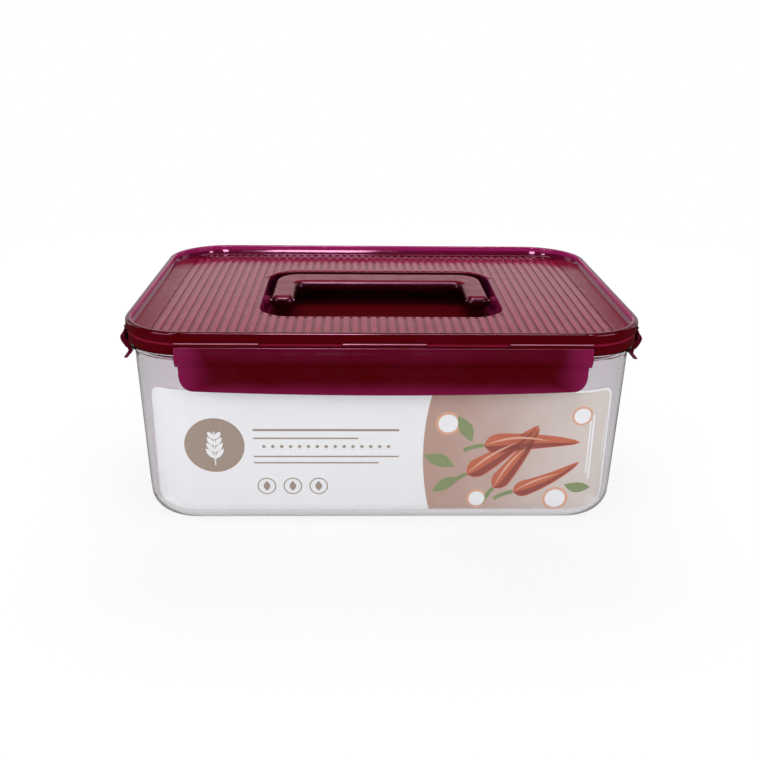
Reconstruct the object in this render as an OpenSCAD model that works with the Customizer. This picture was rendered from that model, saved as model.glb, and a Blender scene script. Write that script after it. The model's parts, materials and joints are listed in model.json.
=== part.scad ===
// Rectangular food container: a clear tub, a lid with four snap latches on film
// hinges, a sealing ring and a carry handle that folds into a pocket of the lid.
// Millimetres. The origin is the middle of the base, +Z is up and the front is -Y.

/* [Lid outline] */
// Width of the lid, left to right
lid_w = 254; // [220:1:320]
// Depth of the lid, front to back
lid_d = 184; // [160:1:240]
// Corner radius of the lid in plan
corner_r = 33; // [28:0.5:42]

/* [Tub] */
// Height of the tub from the base to the edge of its mouth
tub_h = 94.6; // [60:0.5:160]
// Wall thickness of the tub
tub_wall = 2.5; // [1.6:0.1:3.2]
// Floor thickness of the tub
tub_floor = 3; // [2:0.1:5]
// Distance from the lid's edge in to the tub's wall, just below the flange
tub_inset = 3.6; // [3.2:0.1:5]
// Draft of the tub's walls, in degrees
tub_draft = 1.9; // [0.5:0.1:4]
// Outside radius between the walls and the base
base_fillet = 11; // [6:0.5:14]
// Thickness of the flange that the latches hook under
flange_t = 3; // [2.2:0.1:4]
// Distance from the lid's edge in to the edge of the flange
flange_inset = 1; // [0.8:0.1:1.6]
// Height of the mouth's edge above the flange
mouth_lip_h = 2; // [1:0.1:4]
// Rounding of the mouth's edge
mouth_round = 0.7; // [0.2:0.1:0.8]
// Rounding of the flange's upper edge
flange_round = 0.5; // [0.2:0.1:0.6]
// Width of the foot that the tub stands on
foot_w = 7; // [4:0.5:10]
// Depth of the hollow under the base, inside the foot
foot_h = 0.8; // [0.4:0.1:1.2]

/* [Lid] */
// Height of the lid's rim above the ribbed field
rim_h = 5.4; // [4.2:0.1:8]
// Width of the rim
rim_w = 3; // [2.4:0.1:5]
// Rounding of the rim's outer edge
rim_round_out = 1.3; // [0.6:0.1:1.5]
// Rounding of the rim's inner edge
rim_round_in = 0.8; // [0.4:0.1:0.9]
// Height above the ribbed field at which the rim's inner wall begins to step in
rim_step_z = 2.7; // [2:0.1:2.8]
// Height of that slanted step
rim_step_h = 1.3; // [0.4:0.1:1.3]
// Width of that slanted step
rim_step_w = 1; // [0.4:0.1:1.4]
// Lean of the rim's inner wall below the step
rim_lean = 0.3; // [0.1:0.1:1]
// Radius between the rim's inner wall and the ribbed field
rim_foot_r = 0.6; // [0.2:0.1:0.7]
// Thickness of the lid's panel under the grooves
panel_t = 1.7; // [1.2:0.1:3]
// Height of the edge band above the skirt
band_h = 4.8; // [3.5:0.1:6]
// Step from the edge band in to the skirt
skirt_step = 0.6; // [0.5:0.05:1]
// Wall thickness of the skirt
skirt_wall = 2; // [1.4:0.1:2.4]
// Depth of the plug ring below the panel
plug_h = 6.9; // [4:0.1:12]
// Wall thickness of the plug ring
plug_wall = 2; // [1.4:0.1:3]
// Chamfer at the plug ring's lower edge
plug_edge = 0.6; // [0.2:0.1:0.7]

/* [Ribbed field] */
// Pitch of the ribs
rib_pitch = 4.6; // [3:0.1:8]
// Width of the groove between two ribs
groove_w = 1.8; // [0.8:0.1:2.6]
// Depth of the grooves
groove_h = 0.5; // [0.2:0.1:1]
// Smooth margin between the rim and the ends of the grooves
field_margin = 1.9; // [1:0.1:6]
// Width of the smooth ramp along the left and right ends
ramp_w = 9; // [6:0.5:14]
// Rise of the ramp towards the rim
ramp_rise = 1.2; // [0.4:0.1:2.4]

/* [Handle pocket] */
// Width of the pocket's mouth
pocket_w = 128; // [110:1:150]
// Depth of the pocket's mouth, front to back
pocket_d = 92; // [80:1:110]
// Corner radius of the pocket
pocket_r = 17; // [12:0.5:24]
// Depth of the pocket below the ribbed field
pocket_h = 12.1; // [11:0.1:18]
// Wall thickness of the pocket
pocket_wall = 1.8; // [1.4:0.1:2.6]
// Rounding of the pocket's mouth
pocket_lip = 1.2; // [0.6:0.1:2]
// Draft of the pocket's walls, in degrees
pocket_draft = 3; // [1:0.5:5]
// Radius between the pocket's walls and its floor
pocket_base_r = 2; // [1:0.1:4]

/* [Handle] */
// Gap round the handle in the pocket
handle_gap = 3.7; // [2.4:0.1:6]
// Thickness of the handle
handle_t = 7; // [5:0.1:8]
// Depth of the handle's top below the ribbed field
handle_sink = 0.3; // [0:0.1:1]
// Width of the handle's arms
arm_w = 13; // [9:0.5:18]
// Width of the handle's grip
grip_w = 19; // [12:0.5:24]
// Outside radius of the handle's corners
handle_r = 14; // [8:0.5:20]
// Inside radius of the handle's corners
handle_inner_r = 4; // [2:0.5:8]
// Radius of the corners at the ends of the arms
arm_tip_r = 3; // [1:0.5:5]
// Rounding of the handle's long edges
handle_edge = 2; // [0.6:0.1:2.4]
// Front to back place of the pivot
pivot_y = -6.5; // [-12:0.5:4]
// Length of the arms in front of the pivot
arm_end = 3.5; // [3.2:0.1:5]
// Flat that the arms' rounded ends keep at mid height
arm_flat = 0.2; // [0.1:0.1:1]
// Radius of the handle's pivot studs
stud_r = 1.9; // [1.5:0.1:2.4]
// Radius of the bosses that hold the studs
boss_r = 3; // [2.8:0.1:3.2]
// Reach of the studs past the pocket's mouth
stud_reach = 0.2; // [0:0.1:0.6]

/* [Latches] */
// Length of the front and rear latches
long_latch_len = 197; // [160:1:204]
// Length of the left and right latches
short_latch_len = 128; // [100:1:134]
// Drop of the front and rear latches below the rim's top
long_latch_drop = 29.8; // [27:0.1:34]
// Drop of the left and right latches below the rim's top
short_latch_drop = 24; // [23:0.1:27]
// Thickness of the latches
latch_t = 2; // [1.6:0.1:2.4]
// Reach of the latch's shoulder past the lid's edge
shoulder_reach = 3; // [2.4:0.1:4]
// Reach of the latch's lip past the lid's edge
lip_reach = 3.2; // [1.5:0.1:4]
// Step in from the shoulder to the tab at each end
tab_step = 1.2; // [0.6:0.1:3]
// Corner radius of the tab on the front and rear latches
long_tab_r = 7.5; // [4:0.5:10]
// Corner radius of the tab on the left and right latches
short_tab_r = 5; // [3:0.5:7]
// Bow of the front and rear latches' lower edge
tab_bow = 1.7; // [0:0.1:2.4]
// Radius of the bead at the film hinge
bead_r = 0.6; // [0.5:0.05:0.8]
// Thickness of the hinge film
film_t = 0.6; // [0.4:0.05:0.8]
// Height of the hinge film, from the bead down to the shoulder
film_h = 1.5; // [1:0.1:2.5]
// Thickness of the shoulder's upper edge
shoulder_edge = 1.1; // [0.8:0.1:1.6]
// Engagement of the latch's hook under the flange
hook_grip = 1.4; // [1:0.1:1.6]
// Height of the hook's blunt tip
hook_h = 0.8; // [0.4:0.1:1.2]
// Drop from the hook's tip to the step of the tab
tab_drop = 1.8; // [1.2:0.1:3]
// Drop from the step of the tab to the latch's waist
waist_drop = 2.6; // [1.6:0.1:4]
// Distance from the lid's edge in to the waist's outer face
waist_inset = 0.2; // [0:0.1:0.6]
// Slant of the lip's lower edge
lip_slant = 0.4; // [0:0.1:0.8]

/* [Seal and card] */
// Thickness of the sealing ring
seal_t = 1.6; // [1:0.1:3]
// Chamfer at the sealing ring's lower edges
seal_edge = 0.5; // [0.2:0.1:0.8]
// Width of the card, measured straight across
card_w = 225; // [180:1:230]
// Height of the card
card_h = 67.5; // [40:0.5:70]
// Thickness of the card
card_t = 0.4; // [0.25:0.05:0.8]
// Height of the card's lower edge above the tub's floor
card_z = 3; // [2:0.5:12]
// Radius of the card's upper corners
card_top_r = 5; // [2:0.5:10]
// Radius of the card's lower corners
card_low_r = 10; // [4:0.5:16]

/* [Clearances] */
// Gap between pieces that rest on each other
seat_gap = 0.2; // [0.1:0.05:0.3]
// Gap between the plug ring and the mouth
plug_gap = 0.4; // [0.3:0.05:0.8]
// Gap between the hinge bead and the lid
hinge_gap = 0.1; // [0.05:0.01:0.15]
// Gap between the hook and the flange
hook_gap = 0.4; // [0.3:0.05:0.5]
// Radial running gap of the handle's studs
stud_gap = 0.05; // [0.03:0.01:0.1]
// Gap between the handle's arms and the bosses
boss_gap = 0.4; // [0.3:0.05:0.8]
// Gap between the card and the wall
card_gap = 0.15; // [0.1:0.05:0.3]

/* [Hidden] */
$fn = 96;
arc_steps = 5;
bow_steps = 16;
card_steps = 4;

// Corner centres that the lid, the seal and the tub share
centre_x = lid_w / 2 - corner_r;
centre_y = lid_d / 2 - corner_r;

// Heights, from the base up
flange_top_z = tub_h - mouth_lip_h;
flange_low_z = flange_top_z - flange_t;
seal_low_z = tub_h + seat_gap;
panel_low_z = seal_low_z + seal_t;
field_z = panel_low_z + panel_t + groove_h;
rim_z = field_z + rim_h;
band_low_z = rim_z - band_h;
skirt_low_z = flange_top_z + seat_gap;
plug_low_z = panel_low_z - plug_h;

// Radii of the tub's walls about the corner centres, at height z
function tub_out(z) = corner_r - tub_inset - (flange_low_z - z) * tan(tub_draft);
function tub_in(z) = tub_out(z) - tub_wall / cos(tub_draft);
base_r = tub_out(base_fillet) - base_fillet / cos(tub_draft);

// Radius and centre of the tub's inside fillet between the walls and the floor
inner_fillet = base_fillet - tub_wall;
inner_z = tub_floor + inner_fillet;
inner_r = tub_in(inner_z) - inner_fillet / cos(tub_draft);

// Radii of the lid's rings about the same centres
flange_out = corner_r - flange_inset;
skirt_out = corner_r - skirt_step;
skirt_in = skirt_out - skirt_wall;
plug_out = tub_in(plug_low_z) - plug_gap;
plug_in = plug_out - plug_wall;
rim_in = corner_r - rim_w;

// Pocket and handle
pocket_x = pocket_w / 2 - pocket_r;
pocket_y = pocket_d / 2 - pocket_r;
pocket_floor_z = field_z - pocket_h;
handle_w = pocket_w - 2 * handle_gap;
handle_back = pocket_d / 2 - handle_gap;
handle_front = pivot_y - arm_end;
handle_top_z = field_z - handle_sink;
arm_nose_r = (handle_t - arm_flat) / 2;
pivot_z = handle_top_z - handle_t / 2;
stud_end = pocket_w / 2 + stud_reach;

// Latches: distances outward from the lid's edge, and heights
hinge_out = hinge_gap + bead_r - skirt_step;
hinge_z = band_low_z - hinge_gap - bead_r;
shoulder_top_z = hinge_z - film_h;
shoulder_z = flange_top_z;
hook_root_out = hook_gap - flange_inset;
hook_tip_out = -flange_inset - hook_grip;
hook_root_z = flange_low_z + hook_grip;
hook_tip_z = flange_low_z - hook_gap;
tab_top_z = hook_tip_z - tab_drop;
waist_z = tab_top_z - waist_drop;
hinge_strips = 3;
film_root = 0.5;

// Points of an arc about a centre
function arc(x, y, r, from, to) =
    [for (i = [0:arc_steps])
        let (a = from + (to - from) * i / arc_steps)
        [x + r * cos(a), y + r * sin(a)]];

// Smooth step between two points of a latch's section
function ease(p, q, steps) =
    [for (i = [0:steps])
        let (t = i / steps)
        [p[0] + (q[0] - p[0]) * (1 - cos(180 * t)) / 2, p[1] + (q[1] - p[1]) * t]];

// Sweeps a section (x out from the corner centres, y up) round the four sides
module ring(half_x, half_y) {
    for (k = [0:3]) {
        a = k % 2 == 0 ? half_x : half_y;
        b = k % 2 == 0 ? half_y : half_x;
        rotate([0, 0, 90 * k]) translate([a, b, 0]) {
            rotate_extrude(angle = 90) children();
            rotate([90, 0, 0]) linear_extrude(2 * b) children();
        }
    }
}

// Flat slab with round corners between two heights
module slab(half_x, half_y, r, low, high) {
    ring(half_x, half_y) translate([0, low]) square([r, high - low]);
    translate([-half_x, -half_y, low]) cube([2 * half_x, 2 * half_y, high - low]);
}

// Section of the tub from the corner centre out: floor, fillets, wall, flange and mouth
module tub_section() {
    polygon(concat(
        [[0, foot_h], [base_r - foot_w - foot_h, foot_h], [base_r - foot_w, 0]],
        arc(base_r, base_fillet, base_fillet, -90, -tub_draft),
        [[tub_out(flange_low_z), flange_low_z],
            [flange_out - hook_grip, flange_low_z],
            [flange_out, flange_low_z + hook_grip]],
        arc(flange_out - flange_round, flange_top_z - flange_round, flange_round, 0, 90),
        [[tub_out(flange_top_z), flange_top_z]],
        arc(tub_out(tub_h) - mouth_round, tub_h - mouth_round, mouth_round, 0, 90),
        arc(tub_in(tub_h) + mouth_round, tub_h - mouth_round, mouth_round, 90, 180),
        arc(inner_r, inner_z, inner_fillet, -tub_draft, -90),
        [[0, tub_floor]]
    ));
}

module container_body() {
    color("#e6e2ea", 0.35) {
        ring(centre_x, centre_y) tub_section();
        translate([-centre_x, -centre_y, foot_h]) cube([2 * centre_x, 2 * centre_y, tub_floor - foot_h]);
    }
}

// Card that stands inside the front wall and bends with the corners and the base
module label_card() {
    low_z = tub_floor + card_z;
    high_z = low_z + card_h;
    half_w = card_w / 2;
    color("white")
        intersection() {
            union() {
                rotate([0, 0, -90]) translate([centre_y, centre_x, 0])
                    rotate([90, 0, 0]) linear_extrude(2 * centre_x) card_section(low_z, high_z);
                for (side = [0, 1])
                    mirror([side, 0, 0]) translate([centre_x, -centre_y, 0])
                        rotate([0, 0, -90]) rotate_extrude(angle = 90) card_section(low_z, high_z);
            }
            rotate([90, 0, 0]) linear_extrude(lid_d)
                polygon(concat(
                    arc(half_w - card_low_r, low_z + card_low_r, card_low_r, -90, 0),
                    arc(half_w - card_top_r, high_z - card_top_r, card_top_r, 0, 90),
                    arc(-half_w + card_top_r, high_z - card_top_r, card_top_r, 90, 180),
                    arc(-half_w + card_low_r, low_z + card_low_r, card_low_r, 180, 270)
                ));
        }
}

// Outside radius of the card about the corner centres, along the wall and its fillet
function card_face(z) =
    -card_gap + (z >= inner_z ? tub_in(z) : inner_r + sqrt(pow(inner_fillet, 2) - pow(inner_z - z, 2)));

// Section of the card, out from the corner centres
module card_section(low_z, high_z) {
    bend_z = max(low_z, inner_z);
    heights = concat(
        [for (i = [0:card_steps - 1]) low_z + (bend_z - low_z) * i / card_steps],
        [bend_z, high_z]
    );
    last = len(heights) - 1;
    polygon(concat(
        [for (i = [0:last]) [card_face(heights[i]), heights[i]]],
        [for (i = [last:-1:0]) [card_face(heights[i]) - card_t, heights[i]]]
    ));
}

// Section of the lid's edge: rim with its inner step, band, skirt, seal channel and plug ring
module lid_edge_section() {
    polygon(concat(
        [[plug_in, plug_low_z + plug_edge], [plug_in + plug_edge, plug_low_z],
            [plug_out - plug_edge, plug_low_z], [plug_out, plug_low_z + plug_edge],
            [plug_out, panel_low_z], [skirt_in, panel_low_z],
            [skirt_in, skirt_low_z], [skirt_out, skirt_low_z],
            [skirt_out, band_low_z], [corner_r, band_low_z]],
        arc(corner_r - rim_round_out, rim_z - rim_round_out, rim_round_out, 0, 90),
        arc(rim_in + rim_round_in, rim_z - rim_round_in, rim_round_in, 90, 180),
        [[rim_in, field_z + rim_step_z], [rim_in - rim_step_w, field_z + rim_step_z - rim_step_h]],
        arc(rim_in - rim_step_w - rim_lean - rim_foot_r, field_z + rim_foot_r, rim_foot_r, 0, -90),
        [[plug_in, field_z]]
    ));
}

// Grooves of the ribbed field, which stop short of the rim and run out over the pocket's mouth
module grooves() {
    last = floor((centre_x + rim_in - ramp_w) / rib_pitch - 0.5);
    intersection() {
        for (k = [0:last], side = [-1, 1])
            translate([side * (k + 0.5) * rib_pitch - groove_w / 2, -lid_d / 2, field_z - groove_h])
                cube([groove_w, lid_d, 2 * groove_h]);
        slab(centre_x, centre_y, rim_in - field_margin, field_z - 2 * groove_h, field_z + 2 * groove_h);
    }
}

// Panel inside the plug ring, open where the pocket hangs
module panel() {
    difference() {
        slab(centre_x, centre_y, plug_in + plug_wall / 2, panel_low_z, field_z);
        slab(pocket_x, pocket_y, pocket_r + 1.5 * pocket_lip, panel_low_z - panel_t, field_z + panel_t);
    }
}

// Smooth ramps up to the rim along the two ends
module ramps() {
    inner_x = centre_x + rim_in - ramp_w;
    outer_x = centre_x + rim_in + rim_w / 2;
    intersection() {
        for (side = [0, 1])
            mirror([side, 0, 0]) translate([0, lid_d / 2, 0]) rotate([90, 0, 0]) linear_extrude(lid_d)
                polygon([[inner_x, field_z], [outer_x, field_z + ramp_rise], [outer_x, field_z - groove_h],
                    [inner_x, field_z - groove_h]]);
        slab(centre_x, centre_y, rim_in + rim_w / 2, field_z - 2 * groove_h, rim_z);
    }
}

// Section of the pocket from its corner centres out: floor, wall and rounded mouth
module pocket_section() {
    t = pocket_wall;
    f = pocket_base_r;
    lean = tan(pocket_draft);
    floor_r = pocket_r - (pocket_h - pocket_lip) * lean;
    polygon(concat(
        [[0, pocket_floor_z - t]],
        arc(floor_r - f, pocket_floor_z + f, f + t, -90, 0),
        [[pocket_r + t, panel_low_z], [pocket_r + 2 * pocket_lip, panel_low_z],
            [pocket_r + 2 * pocket_lip, field_z]],
        arc(pocket_r + pocket_lip, field_z - pocket_lip, pocket_lip, 90, 180),
        arc(floor_r - f, pocket_floor_z + f, f, 0, -90),
        [[0, pocket_floor_z]]
    ));
}

module pocket() {
    ring(pocket_x, pocket_y) pocket_section();
    translate([-pocket_x, -pocket_y, pocket_floor_z - pocket_wall])
        cube([2 * pocket_x, 2 * pocket_y, pocket_wall]);
}

// Places children at the handle's two pivots, with the axis pointing out
module at_pivots() {
    for (side = [0, 1])
        mirror([side, 0, 0]) translate([0, pivot_y, pivot_z]) rotate([0, 90, 0]) children();
}

module lid() {
    boss_start = handle_w / 2 + boss_gap;
    color("#8c0f35")
        difference() {
            union() {
                ring(centre_x, centre_y) lid_edge_section();
                panel();
                ramps();
                pocket();
                at_pivots() translate([0, 0, boss_start])
                    cylinder(h = pocket_w / 2 + pocket_wall / 2 - boss_start, r = boss_r);
            }
            grooves();
            at_pivots() translate([0, 0, boss_start - boss_gap])
                cylinder(h = stud_end + 2 * boss_gap - boss_start, r = stud_r + stud_gap);
        }
}

module lid_seal() {
    in_r = plug_out + seat_gap;
    out_r = skirt_in - seat_gap;
    color("#d8d2d6")
        ring(centre_x, centre_y)
            polygon([[in_r, panel_low_z], [in_r, seal_low_z + seal_edge], [in_r + seal_edge, seal_low_z],
                [out_r - seal_edge, seal_low_z], [out_r, seal_low_z + seal_edge], [out_r, panel_low_z]]);
}

// Section of a latch: x out from the lid's edge, y up
function latch_section(tip_z) =
    let (
        top_in = hinge_out - film_t / 2,
        inner_waist = -waist_inset - latch_t
    )
    concat(
        ease([top_in + shoulder_edge, shoulder_top_z], [shoulder_reach, shoulder_z], 6),
        ease([shoulder_reach, shoulder_z], [-waist_inset, waist_z], 10),
        ease([-waist_inset, waist_z], [lip_reach, tip_z], 10),
        ease([lip_reach - latch_t, tip_z + lip_slant], [inner_waist, waist_z + lip_slant], 10),
        [[hook_tip_out, hook_tip_z - hook_h], [hook_tip_out, hook_tip_z], [hook_root_out, hook_root_z],
            [shoulder_reach - latch_t, shoulder_z], [top_in, shoulder_top_z]]
    );

// Front outline of a latch: shoulder band, step and tab with a bowed lower edge
function latch_outline(len, tip_z, r, bow) =
    let (
        half = len / 2,
        tab = half - tab_step,
        flat = tab - r
    )
    concat(
        [[half, hinge_z], [half, tab_top_z], [tab, tab_top_z]],
        arc(tab - r, tip_z + bow + r, r, 0, -90),
        [for (i = [1:bow_steps - 1]) let (u = 1 - 2 * i / bow_steps) [u * flat, tip_z + bow * u * u]],
        arc(-tab + r, tip_z + bow + r, r, -90, -180),
        [[-tab, tab_top_z], [-half, tab_top_z], [-half, hinge_z]]
    );

// One latch with its hinge strips, along X, with its outer face towards +Y
module latch(len, tip_z, r, bow) {
    strip = len / (2 * hinge_strips - 1);
    color("#8c0f35") {
        intersection() {
            translate([-len / 2, 0, 0]) rotate([90, 0, 90]) linear_extrude(len)
                polygon(latch_section(tip_z));
            translate([0, lid_d / 4, 0]) rotate([90, 0, 0]) linear_extrude(lid_d / 2)
                polygon(latch_outline(len, tip_z, r, bow));
        }
        for (k = [0:hinge_strips - 1])
            translate([-len / 2 + 2 * k * strip, hinge_out, hinge_z]) {
                rotate([0, 90, 0]) cylinder(h = strip, r = bead_r);
                translate([0, -film_t / 2, -film_h - film_root]) cube([strip, film_t, film_h + film_root]);
            }
    }
}

module long_latch(turn) {
    rotate([0, 0, turn]) translate([0, lid_d / 2, 0])
        latch(long_latch_len, rim_z - long_latch_drop, long_tab_r, tab_bow);
}

module short_latch(turn) {
    rotate([0, 0, turn]) translate([0, lid_w / 2, 0])
        latch(short_latch_len, rim_z - short_latch_drop, short_tab_r, 0);
}

module front_latch() {
    long_latch(180);
}

module rear_latch() {
    long_latch(0);
}

module left_latch() {
    short_latch(90);
}

module right_latch() {
    short_latch(270);
}

// Plan of the folded handle: a U that opens to the front
function handle_plan() =
    let (
        out = handle_w / 2,
        inn = handle_w / 2 - arm_w,
        inner_back = handle_back - grip_w,
        r = handle_r,
        q = handle_inner_r,
        tip = arm_tip_r,
        tip_y = handle_front + arm_tip_r
    )
    concat(
        arc(out - tip, tip_y, tip, -90, 0),
        arc(out - r, handle_back - r, r, 0, 90),
        arc(-out + r, handle_back - r, r, 90, 180),
        arc(-out + tip, tip_y, tip, 180, 270),
        arc(-inn - tip, tip_y, tip, 270, 360),
        arc(-inn + q, inner_back - q, q, 180, 90),
        arc(inn - q, inner_back - q, q, 90, 0),
        arc(inn + tip, tip_y, tip, 180, 270)
    );

// Rectangle from a to b, with corners of radius q on its left and r on its right
function rounded_box(a, b, q, r) =
    concat(
        arc(b[0] - r, a[1] + r, r, -90, 0),
        arc(b[0] - r, b[1] - r, r, 0, 90),
        arc(a[0] + q, b[1] - q, q, 90, 180),
        arc(a[0] + q, a[1] + q, q, 180, 270)
    );

module handle() {
    low_z = handle_top_z - handle_t;
    top_z = handle_top_z;
    edge = handle_edge;
    color("#8c0f35") {
        intersection() {
            translate([0, 0, low_z]) linear_extrude(handle_t) polygon(handle_plan());
            translate([0, lid_d / 2, 0]) rotate([90, 0, 0]) linear_extrude(lid_d)
                polygon(rounded_box([-handle_w / 2, low_z], [handle_w / 2, top_z], edge, edge));
            translate([-lid_w / 2, 0, 0]) rotate([90, 0, 90]) linear_extrude(lid_w)
                polygon(rounded_box([handle_front, low_z], [handle_back, top_z], arm_nose_r, edge));
        }
        at_pivots() translate([0, 0, handle_w / 2 - arm_w / 2])
            cylinder(h = stud_end - handle_w / 2 + arm_w / 2, r = stud_r);
    }
}

container_body();
label_card();
lid();
lid_seal();
front_latch();
rear_latch();
left_latch();
right_latch();
handle();
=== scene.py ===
"""Finish of a clear food container with a burgundy snap lid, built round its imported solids.

Lengths are in metres, in the frame of the solids: the origin is the middle of the base,
+Z is up and the front is -Y. Sections are given as (out, up), with out measured from the
corner centres that the tub and the lid share.
"""
import json
import math
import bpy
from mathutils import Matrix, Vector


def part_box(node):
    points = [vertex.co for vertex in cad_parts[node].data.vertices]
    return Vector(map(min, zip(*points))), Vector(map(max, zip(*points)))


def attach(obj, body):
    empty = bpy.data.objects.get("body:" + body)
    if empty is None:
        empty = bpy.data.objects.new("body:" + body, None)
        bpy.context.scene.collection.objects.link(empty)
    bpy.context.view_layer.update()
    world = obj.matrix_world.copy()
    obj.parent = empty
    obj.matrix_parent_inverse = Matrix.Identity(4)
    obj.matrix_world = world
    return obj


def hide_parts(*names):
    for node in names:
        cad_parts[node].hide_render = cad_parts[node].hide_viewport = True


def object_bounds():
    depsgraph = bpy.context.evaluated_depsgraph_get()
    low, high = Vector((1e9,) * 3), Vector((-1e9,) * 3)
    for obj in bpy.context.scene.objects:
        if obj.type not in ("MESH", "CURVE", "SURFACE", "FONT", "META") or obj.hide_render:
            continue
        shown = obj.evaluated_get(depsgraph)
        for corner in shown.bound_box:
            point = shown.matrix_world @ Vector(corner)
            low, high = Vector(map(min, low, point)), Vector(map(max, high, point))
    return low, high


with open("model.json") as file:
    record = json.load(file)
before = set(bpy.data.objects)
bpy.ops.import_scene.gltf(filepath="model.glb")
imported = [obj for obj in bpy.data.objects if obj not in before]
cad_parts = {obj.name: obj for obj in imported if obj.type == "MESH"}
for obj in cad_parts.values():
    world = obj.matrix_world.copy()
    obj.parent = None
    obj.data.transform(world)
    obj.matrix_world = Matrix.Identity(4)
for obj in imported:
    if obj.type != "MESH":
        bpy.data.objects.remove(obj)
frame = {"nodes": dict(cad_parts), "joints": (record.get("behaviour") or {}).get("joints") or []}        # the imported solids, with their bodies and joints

from types import SimpleNamespace

import bmesh
import bpy
from bpy.props import FloatProperty, FloatVectorProperty, IntProperty, PointerProperty
from mathutils import Matrix, Vector

bl_info = {
    "name": "Clear container with a snap lid",
    "version": (1, 0, 0),
    "blender": (4, 5, 0),
    "location": "3D View > Sidebar > Container",
    "description": "Builds the finished look of a lidded food container",
    "category": "Object",
}

CAD_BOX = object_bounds()
LID_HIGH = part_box("lid")[1]
TUB_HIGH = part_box("container_body")[1]
CARD_LOW, CARD_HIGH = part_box("label_card")
HANDLE_LOW, HANDLE_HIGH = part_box("handle")
JOINTS = {joint["name"]: joint for joint in frame["joints"]}

# Edges that bend more than this stay sharp
SMOOTH_ANGLE = math.radians(32)
# Points this near to each other, or to a cut, count as one
WELD = 1e-6
CUT_SNAP = 1e-7
# How far past the corner centres the flat face reaches that closes a floor
CLOSING = 0.001
# Steps in from an edge at which its rounding has loops, as shares of its radius
EDGE_STEPS = (0.08, 0.22, 0.3, 0.4)
# Distances from the etched height at which the matt and the pale look start and are full
MATT_REACH = (0.0002, 0.00005)
PALE_REACH = (0.0007, 0.0004)
# How far a face looks away from the middle, as a cosine, where the inward look starts and is full
INWARD = (0.1, -0.5)
# Share of its full width below which the end of a strip is a point
POINTED = 0.001


def length(name, about, default):
    """Property for a length."""
    return FloatProperty(name=name, description=about, default=default, min=0.0, precision=5, unit="LENGTH")


def colour(name, about, default):
    """Property for a colour."""
    return FloatVectorProperty(
        name=name, description=about, default=default, size=3, min=0.0, max=1.0, subtype="COLOR")


def angle(name, about, degrees):
    """Property for an angle."""
    return FloatProperty(name=name, description=about, default=math.radians(degrees), subtype="ANGLE")


def share(name, about, default):
    """Property for a share between 0 and 1."""
    return FloatProperty(name=name, description=about, default=default, min=0.0, max=1.0, subtype="FACTOR")


def count(name, about, default):
    """Property for a whole number."""
    return IntProperty(name=name, description=about, default=default, min=1)


class TubSizes(bpy.types.PropertyGroup):
    """Sizes and tint of the clear tub"""
    wall: length("Wall", "Thickness of the walls", 0.0025)
    floor: length("Floor", "Thickness of the floor", 0.003)
    inset: length("Inset", "Distance from the lid's edge in to the wall below the flange", 0.0036)
    draft: angle("Draft", "Lean of the walls", 1.9)
    base_round: length("Base round", "Outside radius between walls and base", 0.011)
    flange: length("Flange", "Thickness of the flange", 0.003)
    flange_bevel: length("Flange bevel", "Bevel under the flange, where the latches hook", 0.0014)
    flange_round: length("Flange round", "Rounding of the flange's upper edge", 0.0005)
    lip: length("Lip", "Height of the mouth above the flange", 0.002)
    lip_round: length("Lip round", "Rounding of the mouth's edge", 0.0007)
    foot: length("Foot", "Width of the foot ring", 0.007)
    foot_hollow: length("Foot hollow", "Depth of the hollow inside the foot ring", 0.0008)
    corner_steps: count("Corner steps", "Steps round each corner", 28)
    tint: colour("Tint", "Tint of the clear plastic", (0.88, 0.845, 0.875))
    shade: colour(
        "Shade", "Light that the clear plastic lets through from the lamps", (0.965, 0.975, 0.975))


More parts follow.
